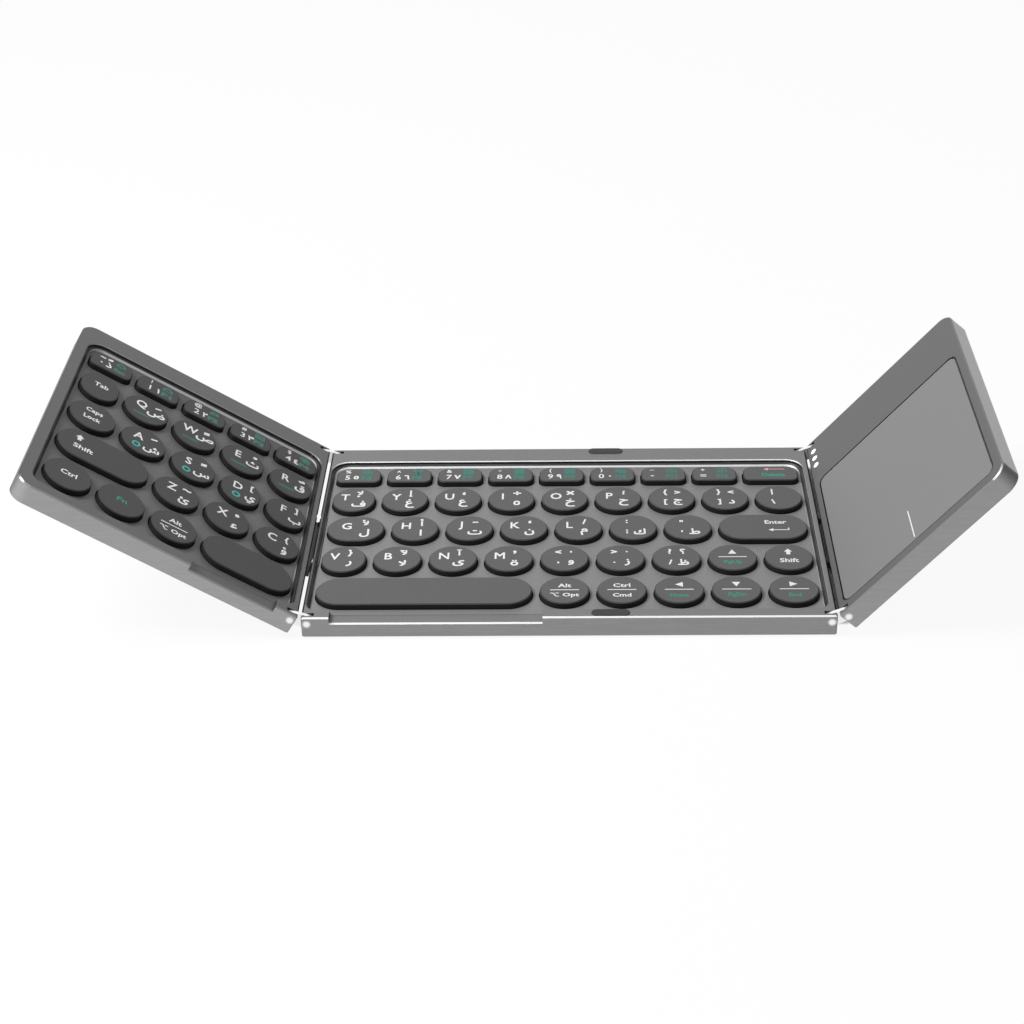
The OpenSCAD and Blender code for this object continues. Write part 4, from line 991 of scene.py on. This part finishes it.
# Marks of every key, by the node's keys from left to right. The font's fill breaks three
# signs, so look-alike ones stand in: "Λ" for the 8's second figure, and "٥" and "ö" for
# the last letters of I and M.
LEGENDS = {
    "esc_key": [[
        mark(bold(lettering("~", 1.6)), -3.4, 1.9),
        mark(bold(lettering("`", 1.8)), -3.4, -1.2),
        mark(bold(lettering("ّ", 2.2)), -0.9, 2.2),
        mark(thin("ذ", 3.0), -0.9, -1.0),
        mark(bold(lettering("⌂", 2.0, 2.8), 0.08), 2.8, 1.9, MUTED_TEAL),
        mark(bold(lettering("Esc", 1.8, 3.6), 0.08), 2.8, -1.7, MUTED_TEAL),
    ]],
    "left_number_keys": [
        number(*row, LEFT_COLUMNS) for row in (
            ("!", "1", "١", "⌂", "F1"), ("@", "2", "٢", "⌕", "F2"),
            ("#", "3", "٣", "▣", "F3"), ("$", "4", "٤", "⧉", "F4"),
        )
    ],
    "tab_key": [[word("Tab", 2.1, 4.6, 0.2, 0.7)]],
    "left_upper_letter_keys": [
        letters(*row, LEFT_SPOTS) + [mark(bar(5.4, 1.1), -1.2, -3.3, DARK_TEAL)] for row in (
            ("Q", "َ", "ض"), ("W", "ً", "ص"), ("E", "ُ", "ث"),
            ("R", "ٌ", "ق"),
        )
    ],
    "caps_lock_key": [[word("Caps", 2.0, 5.4, 0, 2.2), word("Lock", 2.0, 5.4, 0, -1.5)]],
    "left_home_letter_keys": [
        letters("A", "ِ", "ش", HOME_SPOTS) + [mark(SMALL_RING, -2.0, -3.1, CYAN)],
        letters("S", "ٍ", "س", HOME_SPOTS) + [mark(SMALL_RING, -2.0, -3.1, CYAN)],
        letters("D", "[", "ي", shifted(HOME_SPOTS, 0.7, 0.4)) + [
            mark(SMALL_RING, -1.3, -3.1, CYAN)
        ],
        letters("F", "]", "ب", shifted(HOME_SPOTS, 0.9, 0.2)),
    ],
    "left_shift_key": [[
        mark(block_arrow(2.6, 2.9), -8.1, 2.9), word("Shift", 2.1, 6.2, -6.1, -1.6),
    ]],
    "left_lower_letter_keys": [
        letters(*row, LOWER_SPOTS) for row in (
            ("Z", "~", "ئ"), ("X", "ْ", "ء"), ("C", "{", "ؤ"),
        )
    ],
    "left_ctrl_key": [[word("Ctrl", 2.1, 5.0, 0, 0.4)]],
    "fn_key": [[word("Fn", 2.2, 3.2, 0, 0.2, TEAL)]],
    "left_alt_key": [halves("Alt", 3.9, "⌥ Opt", 8.4)],
    "middle_number_keys": [
        number(*row, MIDDLE_COLUMNS) for row in (
            ("%", "5", "٥", "⧉", "F5"), ("^", "6", "٦", "✂", "F6"),
            ("&", "7", "٧", "⏮", "F7"), ("*", "8", "Λ", "⏯", "F8"),
            ("(", "9", "٩", "⏭", "F9"), (")", "0", "٠", "⧉", "F10"),
            ("_", "-", "", "▣", "F11"), ("+", "=", "", "⨁", "F12"),
        )
    ],
    "delete_key": [[
        mark(left_arrow(6.6), 1.3, 2.4, PINK),
        mark(bold(lettering("Delete", 1.9, 7.3, 0.06), 0.08), 0.9, -1.1, TEAL),
    ]],
    "middle_upper_letter_keys": [
        letters(*row, MIDDLE_SPOTS) for row in (
            ("T", "ﻹ", "ف"), ("Y", "إ", "غ"), ("U", "‘", "ع"),
            ("I", "÷", "٥"), ("O", "×", "خ"), ("P", "؛", "ح"),
        )
    ] + [
        sign_key("{", "[", ">", "ج"), sign_key("}", "]", "<", "د"),
        sign_key("|", "\\", "", ""),
    ],
    "middle_home_letter_keys": [
        letters("G", "ﻷ", "ل", shifted(MIDDLE_SPOTS, -0.1, 1.1)),
        letters("H", "أ", "ا", shifted(MIDDLE_SPOTS, 0, 0.2)),
        letters("J", "ـ", "ت", MIDDLE_SPOTS),
        letters("K", "،", "ن", MIDDLE_SPOTS),
        letters("L", "/", "م", MIDDLE_SPOTS),
        sign_key(":", ";", "", "ك"), sign_key("\"", "'", "", "ط"),
    ],
    "enter_key": [[
        word("Enter", 2.0, 6.6, 3.9, 2.5), mark(left_arrow(6.3, 1.0), 4.6, -2.0),
    ]],
    "middle_lower_letter_keys": [
        letters(*row, MIDDLE_SPOTS) for row in (
            ("V", "}", "ر"), ("B", "ﻵ", "ﻻ"), ("N", "آ", "ى"),
            ("M", "’", "ö"),
        )
    ] + [
        sign_key("<", ",", ",", "و"), sign_key(">", ".", ".", "ز"),
        sign_key("?", "/", "؟", "ظ"),
    ],
    "up_arrow_key": [arrow_key(0, "PgUp", 5.4, 0.4)],
    "right_shift_key": [[
        mark(block_arrow(2.5, 3.1), 0, 2.9), word("Shift", 2.1, 5.6, 0, -1.9),
    ]],
    "middle_alt_key": [halves("Alt", 3.9, "⌥ Opt", 8.4)],
    "middle_ctrl_key": [halves("Ctrl", 5.0, "Cmd", 5.4)],
    "arrow_row_keys": [
        arrow_key(90, "Home", 5.4), arrow_key(180, "PgDn", 5.2), arrow_key(-90, "End", 3.6),
    ],
}


def panel_piece(name, parts, panel, material, body):
    """Joins parts given as (points, faces, place) in mm on a panel into one piece.

    A point (u, v, h) goes to place + (u U + v V + h N), with the place in metres along
    U, V and N of the panel.
    """
    points, faces, start = [], [], 0
    for shape, shape_faces, place in parts:
        points.append((np.asarray(shape) * MM + place) @ PANELS[panel])
        faces += [tuple(i + start for i in face) for face in shape_faces]
        start += len(shape)
    mesh = bpy.data.meshes.new(name)
    mesh.from_pydata(np.vstack(points).tolist(), [], faces)
    mesh.materials.append(material)
    built = bmesh.new()
    built.from_mesh(mesh)
    bmesh.ops.recalc_face_normals(built, faces=built.faces)
    built.to_mesh(mesh)
    built.free()
    piece = bpy.data.objects.new(name, mesh)
    bpy.context.scene.collection.objects.link(piece)
    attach(piece, body)
    return piece


for node, keys in LEGENDS.items():
    panel = "left" if node in LEFT_KEYS else "middle"
    tops = key_tops(node, panel)
    assert len(tops) == len(keys), (node, len(tops), len(keys))
    for colour, material in PRINT_FINISH.items():
        parts = [
            (*shape, top + np.array([u, v, 0]) * MM)
            for top, marks in zip(tops, keys)
            for shape, u, v, tint in marks if tint == colour
        ]
        if parts:
            piece = panel_piece(f"{node}_{colour}_print", parts, panel, material, node)

# ---- Line on the touchpad ----

# Its width and length, and how far it stands behind the front edge and left of the middle
LINE_W, LINE_L, LINE_FRONT, LINE_LEFT = 0.36, 14.0, 1.3, 0.9
line_place = np.array([
    (pad_lo[0] + pad_hi[0]) / 2 - LINE_LEFT * MM,
    pad_lo[1] + (LINE_FRONT + LINE_L / 2) * MM, pad_hi[2],
])
line = panel_piece(
    "touchpad_line", [(*bar(LINE_W, LINE_L), line_place)], "right", PRINT_FINISH[WHITE],
    "touchpad",
)

# ---- Camera, floor and light ----

# Focal length, picture size and the point that the camera looks at, in pixels
FOCAL, PICTURE, CENTRE = 2070.6, 1024, (520.51, 545.99)
ELEVATION, YAW, ROLL = (math.radians(a) for a in (31.90, 1.74, -1.22))
# Place of the camera and height of the case's underside, in mm
DISTANCE, SIDEWAYS, BASE = 632.86, -14.65, 0.8


def place_camera():
    """Camera at back * DISTANCE + right * SIDEWAYS above the case's underside.

    back = (sin y cos e, -cos y cos e, sin e), right = (cos y, sin y, 0) and
    up = back x right, where y is the yaw and e the elevation; right and up are then
    turned by the roll.
    """
    back = Vector((
        math.sin(YAW) * math.cos(ELEVATION), -math.cos(YAW) * math.cos(ELEVATION),
        math.sin(ELEVATION),
    ))
    right = Vector((math.cos(YAW), math.sin(YAW), 0))
    up = back.cross(right)
    eye = (back * DISTANCE + right * SIDEWAYS + Vector((0, 0, BASE))) * MM
    across = right * math.cos(ROLL) + up * math.sin(ROLL)
    upward = up * math.cos(ROLL) - right * math.sin(ROLL)
    data = bpy.data.cameras.new("camera")
    data.sensor_width = 36
    data.lens = FOCAL * data.sensor_width / PICTURE
    data.shift_x = (PICTURE / 2 - CENTRE[0]) / PICTURE
    data.shift_y = (CENTRE[1] - PICTURE / 2) / PICTURE
    camera = bpy.data.objects.new("camera", data)
    bpy.context.scene.collection.objects.link(camera)
    turn = Matrix((across, upward, back)).transposed().to_4x4()
    camera.matrix_world = Matrix.Translation(eye) @ turn
    bpy.context.scene.camera = camera


def soft_light(name, direction, distance, size, level):
    """Square lamp that lights a white sheet facing it at the origin to that level.

    A lamp of power P at distance r gives an irradiance of P / (pi r^2), and the sheet
    then shines with 1 / pi of that.
    """
    data = bpy.data.lights.new(name, "AREA")
    data.size = size
    data.energy = level * (math.pi * distance) ** 2
    lamp = bpy.data.objects.new(name, data)
    bpy.context.scene.collection.objects.link(lamp)
    towards = Vector(direction).normalized()
    turn = towards.to_track_quat("Z", "Y").to_matrix().to_4x4()
    lamp.matrix_world = Matrix.Translation(towards * distance) @ turn


def seen_directly(tree):
    """Output that is 1 for camera, mirror and glass rays, and 0 for those that light."""
    path = add(tree, "ShaderNodeLightPath")
    sharp = math_node(
        tree, "MAXIMUM", path.outputs["Is Camera Ray"], path.outputs["Is Glossy Ray"]
    )
    return math_node(tree, "MAXIMUM", sharp, path.outputs["Is Transmission Ray"])


def white_surround(level):
    """World that is white where it is seen and lights the object at a lower level."""
    world = bpy.data.worlds.new("studio")
    bpy.context.scene.world = world
    world.use_nodes = True
    tree = world.node_tree
    colour = mix_colour(tree, seen_directly(tree), (level, level, level, 1), (1, 1, 1, 1))
    tree.links.new(colour, tree.nodes["Background"].inputs["Color"])


# Strip of the floor under the right hinge, as its start and end along X and Y in mm
HINGE_SHADOW = ((74.0, 81.0), (-42.0, 48.0))


def pale_floor(size, glow):
    """Square floor of half size S at z = 0: P(u, v) = (S u, S v, 0), u and v from -1 to 1.

    Where it is seen, a share of its brightness is its own, the glow, which leaves a faint
    shadow. The strip under the right hinge keeps its whole shadow: the share falls to 0
    between the two x and the two y of HINGE_SHADOW, within 1 mm of each. From below, the
    floor can be seen through.
    """
    material, tree, surface = start_material("studio_floor", Roughness=0.7)
    grain = use_group(tree, GRAIN, Scale=300.0, Contrast=0.01, Depth=0.0)
    tree.links.new(
        shade(tree, rgba(250), grain.outputs["Tone"]), surface.inputs["Base Color"]
    )
    light = add(tree, "ShaderNodeEmission", {"Color": (1, 1, 1, 1), "Strength": 1.0})
    apart = add(tree, "ShaderNodeSeparateXYZ", {0: place_of(tree)})
    strip = 1.0
    for axis, (start, end) in zip("XY", HINGE_SHADOW):
        for edge, way in ((start, 1), (end, -1)):
            within = rise(
                tree, apart.outputs[axis], (edge - way) * MM, (edge + way) * MM
            )
            strip = math_node(tree, "MULTIPLY", strip, within)
    share = mix_value(tree, strip, glow, 0.0)
    factor = math_node(tree, "MULTIPLY", seen_directly(tree), share)
    both = add(
        tree, "ShaderNodeMixShader",
        {0: factor, 1: surface.outputs[0], 2: light.outputs[0]},
    )
    clear = add(tree, "ShaderNodeBsdfTransparent")
    below = add(tree, "ShaderNodeNewGeometry").outputs["Backfacing"]
    shown = add(
        tree, "ShaderNodeMixShader", {0: below, 1: both.outputs[0], 2: clear.outputs[0]}
    )
    tree.links.new(shown.outputs[0], tree.nodes["Material Output"].inputs["Surface"])
    u, v = np.meshgrid(np.linspace(-1, 1, 3), np.linspace(-1, 1, 3), indexing="ij")
    points = np.stack([size * u, size * v, np.zeros_like(u)], axis=-1).reshape(-1, 3)
    a = (np.arange(2)[:, None] * 3 + np.arange(2)).ravel()
    mesh = bpy.data.meshes.new("studio_floor")
    mesh.from_pydata(
        points.tolist(), [], np.stack([a, a + 3, a + 4, a + 1], axis=-1).tolist()
    )
    mesh.materials.append(material)
    floor = bpy.data.objects.new("studio_floor", mesh)
    bpy.context.scene.collection.objects.link(floor)
    return floor


place_camera()
soft_light("key_light", (-0.55, -0.1, 0.83), distance=1.0, size=0.4, level=0.94)
soft_light("front_light", (0.1, -0.8, 0.6), distance=1.5, size=0.8, level=0.06)
white_surround(level=0.22)
pale_floor(6.0, 0.93)
bpy.context.scene.view_settings.view_transform = "Standard"
